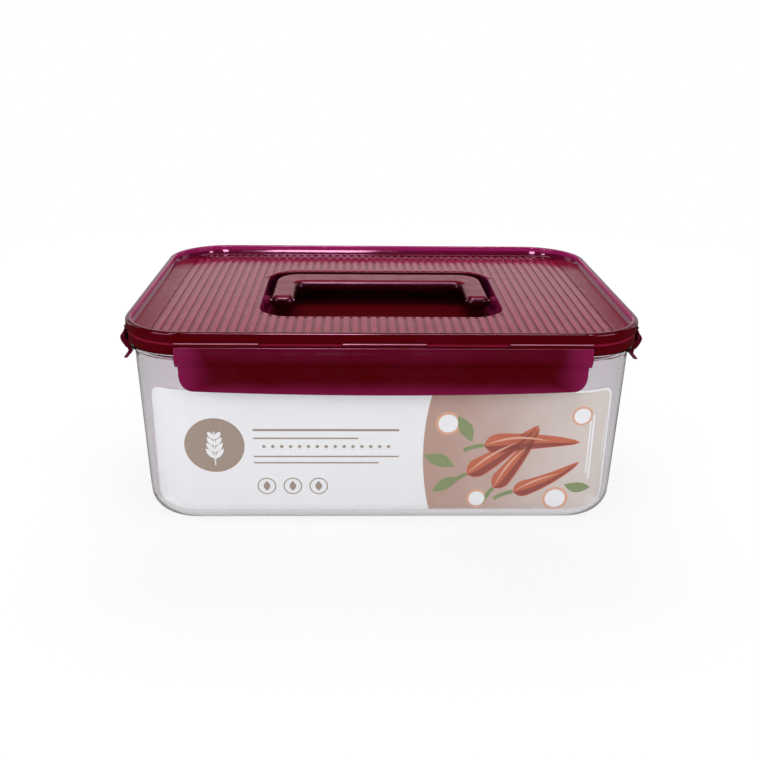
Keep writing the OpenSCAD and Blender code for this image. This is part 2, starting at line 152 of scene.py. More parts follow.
class LidSizes(bpy.types.PropertyGroup):
    """Sizes and colours of the lid"""
    corner: length("Corner", "Corner radius of the lid in plan", 0.033)
    rim_height: length("Rim height", "Height of the rim above the ribbed field", 0.0054)
    rim_width: length("Rim width", "Width of the rim", 0.003)
    rim_out: length("Outer rounding", "Rounding of the rim's outer edge", 0.0013)
    rim_in: length("Inner rounding", "Rounding of the rim's inner edge", 0.0008)
    step_at: length("Step height", "Height above the field at which the rim's inner wall steps in", 0.0027)
    step_drop: length("Step drop", "Height of that slanted step", 0.0013)
    step_width: length("Step width", "Width of that slanted step", 0.001)
    rim_lean: length("Rim lean", "Lean of the rim's inner wall below the step", 0.0003)
    rim_foot: length("Rim foot", "Radius between the rim's inner wall and the field", 0.0006)
    panel: length("Panel", "Thickness of the panel under the grooves", 0.0017)
    band: length("Band", "Height of the edge band above the skirt", 0.0048)
    band_edge: length("Band edge", "Chamfer at the band's lower edge", 0.0002)
    skirt_step: length("Skirt step", "Step from the band in to the skirt", 0.0006)
    skirt_edge: length("Skirt edge", "Chamfer at the skirt's lower edge", 0.0003)
    skirt_wall: length("Skirt wall", "Thickness of the skirt", 0.002)
    seat: length("Seat", "Gap between the skirt and the flange", 0.0002)
    plug: length("Plug ring", "Depth of the plug ring below the panel", 0.0069)
    plug_wall: length("Plug wall", "Thickness of the plug ring", 0.002)
    plug_gap: length("Plug gap", "Gap between the plug ring and the mouth", 0.0004)
    plug_edge: length("Plug edge", "Chamfer at the plug ring's lower edge", 0.0006)
    etching: share("Etching", "Added roughness of the grooves", 0.12)
    # Share of the painted sheen on the ribs' tops
    painted_rib_sheen: share("Rib tone", "How pale the ribs are", 0.6)
    groove_tone: share("Groove tone", "How pale the grooves are", 0.38)
    deep: colour("Burgundy", "Colour of the plastic", (0.064, 0.0003, 0.0015))
    # Painted glow: mixed into the base colour on the rim's thin top and inner wall, the pocket's side walls
    # and the latches' shoulders, lips and ends, for light through thin plastic and from the lamps
    glow: colour("Thin edges", "Colour of the edges that light passes through", (0.34, 0.016, 0.125))
    # Painted sheen: mixed into the base colour of the ribs, the ramps and the handle's top, where their
    # reflections brighten them; the grooves take it as their paler tone
    blush: colour(
        "Ribs", "Colour of the ribs and the handle where light passes through", (0.34, 0.014, 0.055))
    # The hinge beads' paler colour is a painted highlight along the beads
    film: colour("Hinge beads", "Colour of the hinge beads, paled by bending", (0.42, 0.13, 0.20))
    # Painted shade: mixed in by the shaded bands, in the pocket under the grip, down the handle's sides and
    # on the ribs by the back rim
    hollow: colour("Hollows", "Colour of the deeply shaded parts", (0.001, 0.0, 0.0))
    sheen: colour("Sheen", "Tint of the reflections", (1.0, 0.45, 0.72))


class FieldSizes(bpy.types.PropertyGroup):
    """Sizes of the ribbed field"""
    pitch: length("Pitch", "Distance from rib to rib", 0.0046)
    groove: length("Groove", "Width of the grooves", 0.0018)
    depth: length("Depth", "Depth of the grooves", 0.0005)
    rib_round: length("Rib rounding", "Rounding of the ribs' edges", 0.00022)
    overlap: length("Overlap", "How far the ribs run under the rim's foot", 0.0012)
    ramp: length("Ramp", "Width of the smooth ramp along the two ends", 0.009)
    ramp_rise: length("Ramp rise", "Rise of the ramp towards the rim", 0.0012)
    ramp_soft: length("Ramp softness", "Half the width of the bend where the ramp starts", 0.0015)
    ramp_edge: length("Ramp edge", "Rounding of the ramp's edges", 0.0002)
    proud: length("Proud", "Height of the rim's foot above the ribs, so that it covers their ends", 0.00003)


class PocketSizes(bpy.types.PropertyGroup):
    """Sizes of the handle's pocket"""
    width: length("Width", "Width of the pocket's mouth", 0.128)
    depth: length("Depth", "Depth of the pocket's mouth, front to back", 0.092)
    corner: length("Corner", "Corner radius of the pocket", 0.017)
    drop: length("Drop", "Depth of the pocket below the ribbed field", 0.0121)
    wall: length("Wall", "Thickness of the pocket's wall", 0.0018)
    lip: length("Lip", "Rounding of the pocket's mouth", 0.0012)
    ring: length("Ring", "Width of the flat ring between the lip and the ribs", 0.0004)
    ring_rise: share("Ring rise", "Height of that ring above the grooves, as a share of their depth", 0.45)
    draft: angle("Draft", "Lean of the pocket's walls", 3.0)
    base_round: length("Base round", "Radius between walls and floor", 0.002)
    boss: length("Boss", "Radius of the bosses that hold the handle", 0.003)
    boss_gap: length("Boss gap", "Gap between the bosses and the handle's arms", 0.0004)


class HandleSizes(bpy.types.PropertyGroup):
    """Sizes of the carry handle"""
    gap: length("Gap", "Gap round the handle in the pocket", 0.0037)
    arm: length("Arm", "Width of the arms", 0.013)
    grip: length("Grip", "Width of the grip", 0.019)
    corner: length("Corner", "Outside radius of the corners", 0.014)
    inner_corner: length("Inner corner", "Inside radius of the corners", 0.004)
    tip: length("Tip", "Radius at the ends of the arms, in plan", 0.0045)
    nose: length("Nose", "Radius at the ends of the arms, seen from the side", 0.0034)
    edge: length("Edge", "Rounding of the long edges", 0.0032)
    stud: length("Stud", "Radius of the pivot studs", 0.0019)


class LatchSizes(bpy.types.PropertyGroup):
    """Sizes of the four latches"""
    thickness: length("Thickness", "Thickness of the latches", 0.002)
    edge: length("Edge", "Rounding of the edges", 0.00042)
    shoulder: length("Shoulder", "Reach of the shoulder past the lid's edge", 0.003)
    lip: length("Lip", "Reach of the lip past the lid's edge", 0.0032)
    step: length("Step", "Step in from the shoulder to the tab at each end", 0.0012)
    long_corner: length("Long tab corner", "Corner radius of the tab on the long latches", 0.0075)
    short_corner: length("Short tab corner", "Corner radius of the tab on the short latches", 0.005)
    bow: length("Bow", "Bow of the long latches' lower edge", 0.0017)
    bead: length("Bead", "Radius of the bead at the film hinge", 0.0006)
    film: length("Film", "Thickness of the hinge film", 0.0006)
    film_gap: length("Film gap", "Gap between the bead and the skirt", 0.0001)
    film_height: length("Film height", "Height of the film from the bead to the shoulder", 0.0015)
    top_edge: length("Top edge", "Thickness of the shoulder's upper edge", 0.0011)
    hook: length("Hook", "Engagement of the hook under the flange", 0.0014)
    hook_gap: length("Hook gap", "Gap between the hook and the flange", 0.0004)
    hook_tip: length("Hook tip", "Height of the hook's blunt tip", 0.0008)
    tab_drop: length("Tab drop", "Drop from the hook's tip to the step of the tab", 0.0018)
    waist_drop: length("Waist drop", "Drop from the step of the tab to the waist", 0.0026)
    waist: length("Waist", "Distance from the lid's edge in to the waist", 0.0002)
    slant: length("Slant", "Slant of the lip's lower edge", 0.0004)
    strips: count("Hinge strips", "Film strips that each latch hangs on", 3)


class CardSizes(bpy.types.PropertyGroup):
    """Sizes and colours of the printed card"""
    thickness: length("Thickness", "Thickness of the card", 0.0004)
    gap: length("Gap", "Gap between the card and the wall", 0.00015)
    top_corner: length("Top corner", "Radius of the upper corners", 0.005)
    low_corner: length("Low corner", "Radius of the lower corners", 0.010)
    ink: length("Ink", "Height of the print above the card", 0.00005)
    margin: length("Margin", "Bare margin round the picture panel", 0.0012)
    panel_left: FloatProperty(
        name="Panel's left edge", description="Place of the panel's left edge", default=0.02, unit="LENGTH")
    panel_bulge: length("Panel's bulge", "Radius of the panel's left edge", 0.14)
    panel_cream: length("Cream from", "Place from which the panel's warm tone has turned to cream", 0.11)
    rule_middle: FloatProperty(
        name="Rules", description="Place of the middle of the rules", default=-0.028, unit="LENGTH")
    rule_at: share("Rule height", "Height of the row of diamonds, as a share of the card's", 0.55)
    rule_length: length("Rule length", "Length of the longest rule", 0.072)
    bead: length("Diamond", "Size of the small diamonds", 0.0022)
    beads: count("Diamonds", "Number of small diamonds in the row", 15)
    paper: colour("Paper", "Colour of the bare card", (0.92, 0.95, 0.95))
    badge: colour("Badge", "Colour of the round badge and the rules", (0.371, 0.292, 0.223))
    cream: colour("Cream", "Light tone of the picture panel", (0.70, 0.64, 0.585))
    blush: colour("Blush", "Warm tone of the picture panel", (0.50, 0.32, 0.255))
    chilli: colour("Chilli", "Colour of the peppers", (0.56, 0.135, 0.06))
    ember: colour("Chilli shade", "Shaded side of the peppers", (0.30, 0.055, 0.035))
    shine: colour("Chilli shine", "Shine on the peppers", (0.76, 0.42, 0.28))
    leaf: colour("Leaf", "Colour of the leaves", (0.235, 0.31, 0.125))


class StageSizes(bpy.types.PropertyGroup):
    """Camera, floor, fill light and flags"""
    camera_place: FloatVectorProperty(
        name="Camera", description="Place of the camera", size=3, subtype="TRANSLATION", unit="LENGTH",
        default=(-0.0139, -0.51286, 0.24157))
    pitch: FloatProperty(
        name="Pitch", description="Camera's angle below level", default=0.3643, subtype="ANGLE")
    yaw: FloatProperty(
        name="Yaw", description="Camera's turn to the left", default=-0.0282, subtype="ANGLE")
    roll: FloatProperty(name="Roll", description="Camera's tilt", default=0.0123, subtype="ANGLE")
    lens: FloatProperty(name="Lens", description="Focal length in millimetres", default=45.0, min=1.0)
    floor_size: length("Floor", "Width of the floor", 8.0)
    floor_drop: length("Floor drop", "Gap between the floor and the foot", 0.0001)
    fill: FloatProperty(
        name="Fill", description="Strength of the light from all sides", default=0.56, min=0.0)
    fill_colour: colour("Fill colour", "Colour of the light from all sides", (1.0, 0.98, 0.985))
    paint: share("Floor colour", "How pale the floor is", 0.9)
    glow: share("Floor glow", "Share of the floor's look that shadows don't reach", 0.84)
    # Painted shade: these make the floor darker where it is seen through the tub, for the shade inside the
    # tub
    near_through: share("Near floor", "How light the floor is where it is seen through the tub", 0.7)
    far_through: share("Far floor", "The same, behind the tub", 0.56)
    near_end: length("Near floor's end", "Distance up to which the floor counts as near", 0.14)
    far_start: length("Far floor's start", "Distance from which it counts as behind the tub", 0.3)
    shadow_end: length("Shadow's end", "Distance at which the floor shows no more shadow", 0.7)
    flag_far: length("Flags", "Distance of the dark flags from the middle", 2.2)
    flag_lift: length("Flag lift", "Height of the floor's flags", 0.0005)
    flag_gap: length("Flag gap", "Gap between the floor's flags and the container, in plan", 0.0004)
    flag_tone: share("Flag tone", "How pale the dark flags are", 0.03)
    board_tone: share("Board tone", "How pale the grey board at the back is", 0.73)
    board_top: length("Board top", "Height of the grey board", 0.9)


SETTINGS = {
    "container_tub": TubSizes,
    "container_lid": LidSizes,
    "container_field": FieldSizes,
    "container_pocket": PocketSizes,
    "container_handle": HandleSizes,
    "container_latch": LatchSizes,
    "container_card": CardSizes,
    "container_stage": StageSizes,
}


# Shared heights and radii

def levels(scene):
    """Heights and radii that several pieces share, from the frame and the set sizes."""
    tub, lid, field, pocket = (
        scene.container_tub, scene.container_lid, scene.container_field, scene.container_pocket)
    at = SimpleNamespace()
    at.corner_x = LID_HIGH.x - lid.corner
    at.corner_y = LID_HIGH.y - lid.corner
    at.rim = LID_HIGH.z
    at.field = at.rim - lid.rim_height
    at.groove = at.field - field.depth
    at.panel = at.groove - lid.panel
    at.band = at.rim - lid.band
    at.mouth = TUB_HIGH.z
    at.flange_top = at.mouth - tub.lip
    at.flange_low = at.flange_top - tub.flange
    at.flange_out = TUB_HIGH.x - at.corner_x
    at.flange_inset = lid.corner - at.flange_out
    at.skirt_low = at.flange_top + lid.seat
    at.plug_low = at.panel - lid.plug
    at.rim_in = lid.corner - lid.rim_width
    at.field_edge = at.rim_in - lid.step_width - lid.rim_lean - lid.rim_foot
    at.pocket_x = pocket.width / 2 - pocket.corner
    at.pocket_y = pocket.depth / 2 - pocket.corner
    at.pocket_floor = at.field - pocket.drop
    return at


def wall_out(scene, z):
    """Outside radius of the tub's wall about the corner centres, at height z."""
    tub = scene.container_tub
    lean = math.tan(tub.draft)
    return scene.container_lid.corner - tub.inset - (levels(scene).flange_low - z) * lean


def wall_in(scene, z):
    """Inside radius of the tub's wall about the corner centres, at height z."""
    tub = scene.container_tub
    return wall_out(scene, z) - tub.wall / math.cos(tub.draft)


def inner_round(scene):
    """Radius, height and place of the fillet between the tub's walls and its floor, on the inside."""
    tub = scene.container_tub
    radius = tub.base_round - tub.wall
    height = tub.floor + radius
    return radius, height, wall_in(scene, height) - radius / math.cos(tub.draft)


def wall_face(scene, z):
    """Inside radius of the tub at height z, along the wall and its fillet."""
    radius, height, middle = inner_round(scene)
    if z >= height:
        return wall_in(scene, z)
    return middle + math.sqrt(radius ** 2 - (height - z) ** 2)


# Outlines and sections

def arc(x, y, radius, start, end, steps=10):
    """Points of an arc, with its angles in degrees."""
    turns = [math.radians(start + (end - start) * step / steps) for step in range(steps + 1)]
    return [(x + radius * math.cos(turn), y + radius * math.sin(turn)) for turn in turns]


def drop(radius, past):
    """Drop of a rounded edge below its flat, at a distance in from the edge."""
    if past >= radius:
        return 0.0
    return radius - math.sqrt(max(radius ** 2 - (radius - past) ** 2, 0.0))


def along(stations, height, eased=True):
    """Value at a height, between stations (height, value) that run from the top down."""
    for (top, a), (low, b) in zip(stations, stations[1:]):
        if height >= low:
            t = min(max((top - height) / (top - low), 0.0), 1.0)
            if eased:
                t = (1 - math.cos(math.pi * t)) / 2
            return a + (b - a) * t
    return stations[-1][1]


def edge_distance(u, v, outline):
    """Distance of a point from the nearest side of an outline."""
    best = math.inf
    for (ax, ay), (bx, by) in zip(outline, outline[1:] + outline[:1]):
        dx, dy = bx - ax, by - ay
        whole = dx * dx + dy * dy
        t = min(max(((u - ax) * dx + (v - ay) * dy) / whole, 0.0), 1.0) if whole else 0.0
        best = min(best, math.hypot(u - ax - t * dx, v - ay - t * dy))
    return best


def spread(low, high, steps):
    """Evenly spaced values from low to high, without the ends."""
    return [low + (high - low) * step / steps for step in range(1, steps)]


# Print shapes

def leaf_width(t):
    """Width of a leaf along its length, pointed at both ends."""
    return math.sin(math.pi * t)


def pepper_width(t):
    """Width of a pepper along its length, round at the stem and pointed at the tip."""
    stem_end, taper = 0.14, 0.55
    return min(1.0, t / stem_end) ** 0.5 * (1 - t) ** taper


def even_width(t):
    """Even width."""
    return 1.0


def ribbon(root, turn, long, wide, width=leaf_width, bend=0.0, shift=0.0, steps=18):
    """Outline of a bent strip from its root, turned by degrees, with its width given along its length."""
    c, s = math.cos(math.radians(turn)), math.sin(math.radians(turn))
    stations = [step / steps for step in range(steps + 1)]
    upper = [(long * t, bend * t * t + shift * width(t) + wide / 2 * width(t)) for t in stations]
    lower = [(long * t, bend * t * t + shift * width(t) - wide / 2 * width(t)) for t in stations]
    if width(0.0) < POINTED:
        lower = lower[1:]
    if width(1.0) < POINTED:
        upper = upper[:-1]
    return [(root[0] + x * c - y * s, root[1] + x * s + y * c) for x, y in upper + lower[::-1]]


def disc(x, y, radius):
    """Outline of a disc."""
    return arc(x, y, radius, 0, 350, 35)


def ring(x, y, radius, width):
    """Outlines of the two halves of a ring."""
    return [arc(x, y, radius, start, start + 180, 18) + arc(x, y, radius - width, start + 180, start, 18)
            for start in (0, 180)]


def bar(x, y, long, high):
    """Outline of a rule, from its left end."""
    return [(x, y - high / 2), (x + long, y - high / 2), (x + long, y + high / 2), (x, y + high / 2)]


# Meshes

def plate(outline, front, back, place, edge=0.0, cuts_u=(), cuts_v=()):
    """Closed solid over a flat outline, between a front and a back surface, with rounded edges."""
    flat = bmesh.new()
    middle = flat.faces.new([flat.verts.new((u, v, 0)) for u, v in outline])
    if edge:
        flat.normal_update()
        for part in EDGE_STEPS:
            bmesh.ops.inset_region(
                flat, faces=[middle], thickness=edge * part, use_boundary=True, use_even_offset=True)
    for axis, cuts in (((1, 0, 0), cuts_u), ((0, 1, 0), cuts_v)):
        for cut in cuts:
            bmesh.ops.bisect_plane(
                flat, geom=flat.verts[:] + flat.edges[:] + flat.faces[:], dist=CUT_SNAP,
                plane_co=Vector(axis) * cut, plane_no=axis)
    solid = bmesh.new()
    pairs = {}
    for vert in flat.verts:
        u, v = vert.co.x, vert.co.y
        relief = drop(edge, edge_distance(u, v, outline)) if edge else 0.0
        pairs[vert] = (
            solid.verts.new(place(u, v, front(u, v) - relief)),
            solid.verts.new(place(u, v, back(u, v) + relief)))
    for face in flat.faces:
        solid.faces.new([pairs[vert][0] for vert in face.verts])
        solid.faces.new([pairs[vert][1] for vert in reversed(face.verts)])
    for line in flat.edges:
        if len(line.link_faces) == 1:
            a, b = (pairs[vert] for vert in line.verts)
            solid.faces.new((a[0], b[0], b[1], a[1]))
    flat.free()
    bmesh.ops.recalc_face_normals(solid, faces=solid.faces)
    return solid


def skin(shell, rings):
    """Adds a closed skin over rings of points to a shell."""
    rings = [[shell.verts.new(point) for point in ring] for ring in rings]
    for low, high in zip(rings, rings[1:]):
        for k in range(len(low)):
            after = (k + 1) % len(low)
            shell.faces.new((low[k], low[after], high[after], high[k]))
    shell.faces.new(rings[0])
    shell.faces.new(rings[-1])
    bmesh.ops.recalc_face_normals(shell, faces=shell.faces)
    return shell


def as_mesh(name, shell):
    """Mesh of a shell, which is used up."""
    mesh = bpy.data.meshes.new(name)
    shell.to_mesh(mesh)
    shell.free()
    return mesh


def as_shell(mesh):
    """Shell of a mesh, which is used up."""
    shell = bmesh.new()
    shell.from_mesh(mesh)
    bpy.data.meshes.remove(mesh)
    return shell


def placed(name, data):
    """New object for a mesh, lamp or camera, in the scene."""
    made = bpy.data.objects.new(name, data)
    bpy.context.scene.collection.objects.link(made)
    return made


def towards(direction):
    """Turn that points +Z along a direction."""
    return direction.to_track_quat("Z", "Y").to_matrix().to_4x4()


def loft(loops, steps=20):
    """Closed shell through rounded rectangles, each given as (corner x, corner y, radius, height)."""
    rings = []
    for corner_x, corner_y, radius, height in loops:
        ring = []
        for quarter, (side_x, side_y) in enumerate(((1, 1), (-1, 1), (-1, -1), (1, -1))):
            start = 90 * quarter
            turn = arc(side_x * corner_x, side_y * corner_y, radius, start, start + 90, steps)
            ring += [(x, y, height) for x, y in turn]
        rings.append(ring)
    return skin(bmesh.new(), rings)


def rod(start, end, radius, sides=32):
    """Closed round rod between two points."""
    made = bmesh.new()
    axis = Vector(end) - Vector(start)
    middle = (Vector(start) + Vector(end)) / 2
    bmesh.ops.create_cone(
        made, cap_ends=True, segments=sides, radius1=radius, radius2=radius, depth=axis.length,
        matrix=Matrix.Translation(middle) @ towards(axis))
    return made


def piece(name, shells, material, body, replaces=(), sharp=SMOOTH_ANGLE):
    """Object made of closed shells, smooth but for its sharp edges, which rides on a body."""
    whole = bmesh.new()
    for shell in shells:
        part = as_mesh(name, shell)
        whole.from_mesh(part)
        bpy.data.meshes.remove(part)
    return finished(name, as_mesh(name, whole), material, body, replaces, sharp)


def finished(name, mesh, material, body, replaces=(), sharp=SMOOTH_ANGLE):
    """Shades a mesh, gives it its material and lets it ride on a body."""
    mesh.polygons.foreach_set("use_smooth", [True] * len(mesh.polygons))
    mesh.set_sharp_from_angle(angle=sharp)
    mesh.materials.clear()
    mesh.materials.append(material)
    made = placed(name, mesh)
    even = made.modifiers.new("Even shading", "WEIGHTED_NORMAL")
    even.keep_sharp = True
    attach(made, body)
    if replaces:
        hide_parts(*replaces)
    return made


# Node helpers

def node(tree, kind, inputs=None, **settings):
    """Adds a node. Its inputs are given by name or number, as a value or as the socket that feeds it."""
    made = tree.nodes.new(kind)
    for key, value in settings.items():
        setattr(made, key, value)
    for key, value in (inputs or {}).items():
        if isinstance(value, bpy.types.NodeSocket):
            tree.links.new(value, made.inputs[key])
        else:
            made.inputs[key].default_value = value
    return made


def maths(tree, operation, *values):
    """Adds a Math node and returns its result."""
    return node(tree, "ShaderNodeMath", dict(enumerate(values)), operation=operation).outputs[0]


def size_tree(name, sizes):
    """Empty Geometry Nodes tree with a mesh in and out, and a named input for each size."""
    tree = bpy.data.node_groups.new(name, "GeometryNodeTree")
    tree.interface.new_socket("Geometry", in_out="INPUT", socket_type="NodeSocketGeometry")
    for label, kind in sizes.items():
        tree.interface.new_socket(label, in_out="INPUT", socket_type="NodeSocket" + kind)
    tree.interface.new_socket("Geometry", in_out="OUTPUT", socket_type="NodeSocketGeometry")
    return tree, node(tree, "NodeGroupInput").outputs


def close_tree(tree, geometry, material):
    """Ends a tree with plain, welded and dressed geometry."""
    real = node(tree, "GeometryNodeRealizeInstances", {"Geometry": geometry})
    weld = node(tree, "GeometryNodeMergeByDistance", {"Geometry": real.outputs[0], "Distance": WELD})
    dress = node(tree, "GeometryNodeSetMaterial", {"Geometry": weld.outputs[0], "Material": material})
    node(tree, "NodeGroupOutput", {"Geometry": dress.outputs[0]})


def grown(name, mesh, tree, values):
    """Plain mesh that a tree makes of a start mesh with these input values."""
    seed = placed(name + "_seed", mesh)
    grow = seed.modifiers.new("Grow", "NODES")
    grow.node_group = tree
    for item in tree.interface.items_tree:
        if item.in_out == "INPUT" and item.name in values:
            grow[item.identifier] = values[item.name]
    evaluated = seed.evaluated_get(bpy.context.evaluated_depsgraph_get())
    made = bpy.data.meshes.new_from_object(evaluated)
    made.name = name
    bpy.data.objects.remove(seed)
    bpy.data.meshes.remove(mesh)
    return made


def line_mesh(name, points):
    """Mesh of an open line through points."""
    mesh = bpy.data.meshes.new(name)
    mesh.from_pydata(points, [(k, k + 1) for k in range(len(points) - 1)], [])
    return mesh


def sweep_tree():
    """Tree that carries a section round a rectangle with round corners."""
    tree, given = size_tree("Section round the corners", {
        "Corner X": "Float", "Corner Y": "Float", "Radius": "Float", "Corner steps": "Int",
        "Material": "Material"})
    full_x = maths(tree, "MULTIPLY", maths(tree, "ADD", given["Corner X"], given["Radius"]), 2.0)
    full_y = maths(tree, "MULTIPLY", maths(tree, "ADD", given["Corner Y"], given["Radius"]), 2.0)
    path = node(tree, "GeometryNodeCurvePrimitiveQuadrilateral", {"Width": full_x, "Height": full_y})
    fillet = node(tree, "GeometryNodeFilletCurve", {
        "Curve": path.outputs[0], "Count": given["Corner steps"], "Radius": given["Radius"]}, mode="POLY")
    upright = node(tree, "GeometryNodeSetCurveNormal", {"Curve": fillet.outputs[0]}, mode="Z_UP")
    section = node(tree, "GeometryNodeMeshToCurve", {"Mesh": given["Geometry"]})
    swept = node(tree, "GeometryNodeCurveToMesh", {
        "Curve": upright.outputs[0], "Profile Curve": section.outputs[0]})
    close_tree(tree, swept.outputs[0], given["Material"])
    return tree


def row_points(tree, number, spacing):
    """Points of an even row along X about the middle."""
    last = maths(tree, "SUBTRACT", number, 1.0)
    start = maths(tree, "MULTIPLY", maths(tree, "MULTIPLY", last, spacing), -0.5)
    return node(tree, "GeometryNodeMeshLine", {
        "Count": number,
        "Start Location": node(tree, "ShaderNodeCombineXYZ", {"X": start}).outputs[0],
        "Offset": node(tree, "ShaderNodeCombineXYZ", {"X": spacing}).outputs[0]}, mode="OFFSET").outputs[0]


def rib_tree():
    """Tree that repeats a rib across the field and fits it between the rim and the pocket's mouth.

    Points of the rib at Y = -1 and 1 go to the rim, the others keep their distance from the mouth.
    """
    tree, given = size_tree("Ribs of the field", {
        "Count": "Int", "Pitch": "Float", "Height": "Float", "Nearest": "Float", "Farthest": "Float",
        "Overlap": "Float", "Corner X": "Float", "Corner Y": "Float", "Radius": "Float",
        "Pocket X": "Float", "Pocket Y": "Float", "Pocket radius": "Float", "Material": "Material"})
    position = node(tree, "GeometryNodeInputPosition").outputs[0]
    place = node(tree, "ShaderNodeSeparateXYZ", {0: position}).outputs
    from_middle = maths(tree, "ABSOLUTE", place["X"])
    distance = maths(tree, "ABSOLUTE", place["Y"])

    def reach(corner_x, corner_y, radius):
        past = maths(tree, "MAXIMUM", maths(tree, "SUBTRACT", from_middle, corner_x), 0.0)
        whole = maths(tree, "MULTIPLY", radius, radius)
        left = maths(tree, "SUBTRACT", whole, maths(tree, "MULTIPLY", past, past))
        return maths(tree, "ADD", corner_y, maths(tree, "SQRT", maths(tree, "MAXIMUM", left, 0.0)))

    wanted = maths(tree, "MULTIPLY", maths(tree, "GREATER_THAN", from_middle, given["Nearest"]),
                   maths(tree, "LESS_THAN", from_middle, given["Farthest"]))
    ribs = node(tree, "GeometryNodeInstanceOnPoints", {
        "Points": row_points(tree, given["Count"], given["Pitch"]),
        "Selection": wanted, "Instance": given["Geometry"]})
    real = node(tree, "GeometryNodeRealizeInstances", {"Geometry": ribs.outputs[0]})
    to_rim = reach(given["Corner X"], given["Corner Y"], given["Radius"])
    to_mouth = reach(given["Pocket X"], given["Pocket Y"], given["Pocket radius"])
    rim = maths(tree, "ADD", to_rim, given["Overlap"])
    mouth = maths(tree, "ADD", to_mouth, distance)
    far = maths(tree, "GREATER_THAN", distance, 0.5)
    out = maths(tree, "ADD", mouth, maths(tree, "MULTIPLY", far, maths(tree, "SUBTRACT", rim, mouth)))
    there = node(tree, "ShaderNodeCombineXYZ", {
        "X": place["X"], "Y": maths(tree, "MULTIPLY", maths(tree, "SIGN", place["Y"]), out),
        "Z": maths(tree, "ADD", place["Z"], given["Height"])})
    fitted = node(tree, "GeometryNodeSetPosition", {
        "Geometry": real.outputs[0], "Position": there.outputs[0]})
    close_tree(tree, fitted.outputs[0], given["Material"])
    return tree


def row_tree():
    """Tree that repeats a shape in an even row along X."""
    tree, given = size_tree("Even row", {"Count": "Int", "Spacing": "Float", "Material": "Material"})
    copies = node(tree, "GeometryNodeInstanceOnPoints", {
        "Points": row_points(tree, given["Count"], given["Spacing"]), "Instance": given["Geometry"]})
    close_tree(tree, copies.outputs[0], given["Material"])
    return tree


# Materials

def blank(name):
    """New material with an empty node tree, its output and its Object coordinates."""
    material = bpy.data.materials.new(name)
    material.use_nodes = True
    tree = material.node_tree
    tree.nodes.clear()
    output = node(tree, "ShaderNodeOutputMaterial")
    place = node(tree, "ShaderNodeTexCoord").outputs["Object"]
    return material, tree, output.inputs["Surface"], place


def cloud(tree, place, scale, detail=3.0):
    """Soft noise of a given scale, per metre."""
    return node(tree, "ShaderNodeTexNoise", {"Vector": place, "Scale": scale, "Detail": detail}).outputs[0]


def fade(tree, value, low, high, to_low=0.0, to_high=1.0):
    """Smooth change from one value to another as the input goes from low to high."""
    return node(tree, "ShaderNodeMapRange", {
        "Value": value, "From Min": low, "From Max": high, "To Min": to_low, "To Max": to_high},
        interpolation_type="SMOOTHSTEP").outputs[0]


def mixed(tree, factor, a, b):
    """Colour between a and b."""
    made = node(tree, "ShaderNodeMix", {"Factor": factor}, data_type="RGBA")
    for key, value in ((6, a), (7, b)):
        if isinstance(value, bpy.types.NodeSocket):
            tree.links.new(value, made.inputs[key])
        else:
            made.inputs[key].default_value = (*value, 1.0)
    return made.outputs[2]


def bumped(tree, height, strength, distance):
    """Normal of a surface with small bumps."""
    return node(tree, "ShaderNodeBump", {
        "Height": height, "Strength": strength, "Distance": distance}).outputs[0]


def sway(tree, place, scale, width):
    """Soft noise about zero."""
    return maths(tree, "MULTIPLY", maths(tree, "SUBTRACT", cloud(tree, place, scale), 0.5), width)


def patchy(tree, noise, smooth, rough):
    """Roughness that goes from smooth to rough over the middle of a noise."""
    return fade(tree, noise, low=0.3, high=0.7, to_low=smooth, to_high=rough)


def coat(tree, surface, inputs):
    """Gives a material a Principled surface with these inputs."""
    body = node(tree, "ShaderNodeBsdfPrincipled", inputs)
    tree.links.new(body.outputs[0], surface)


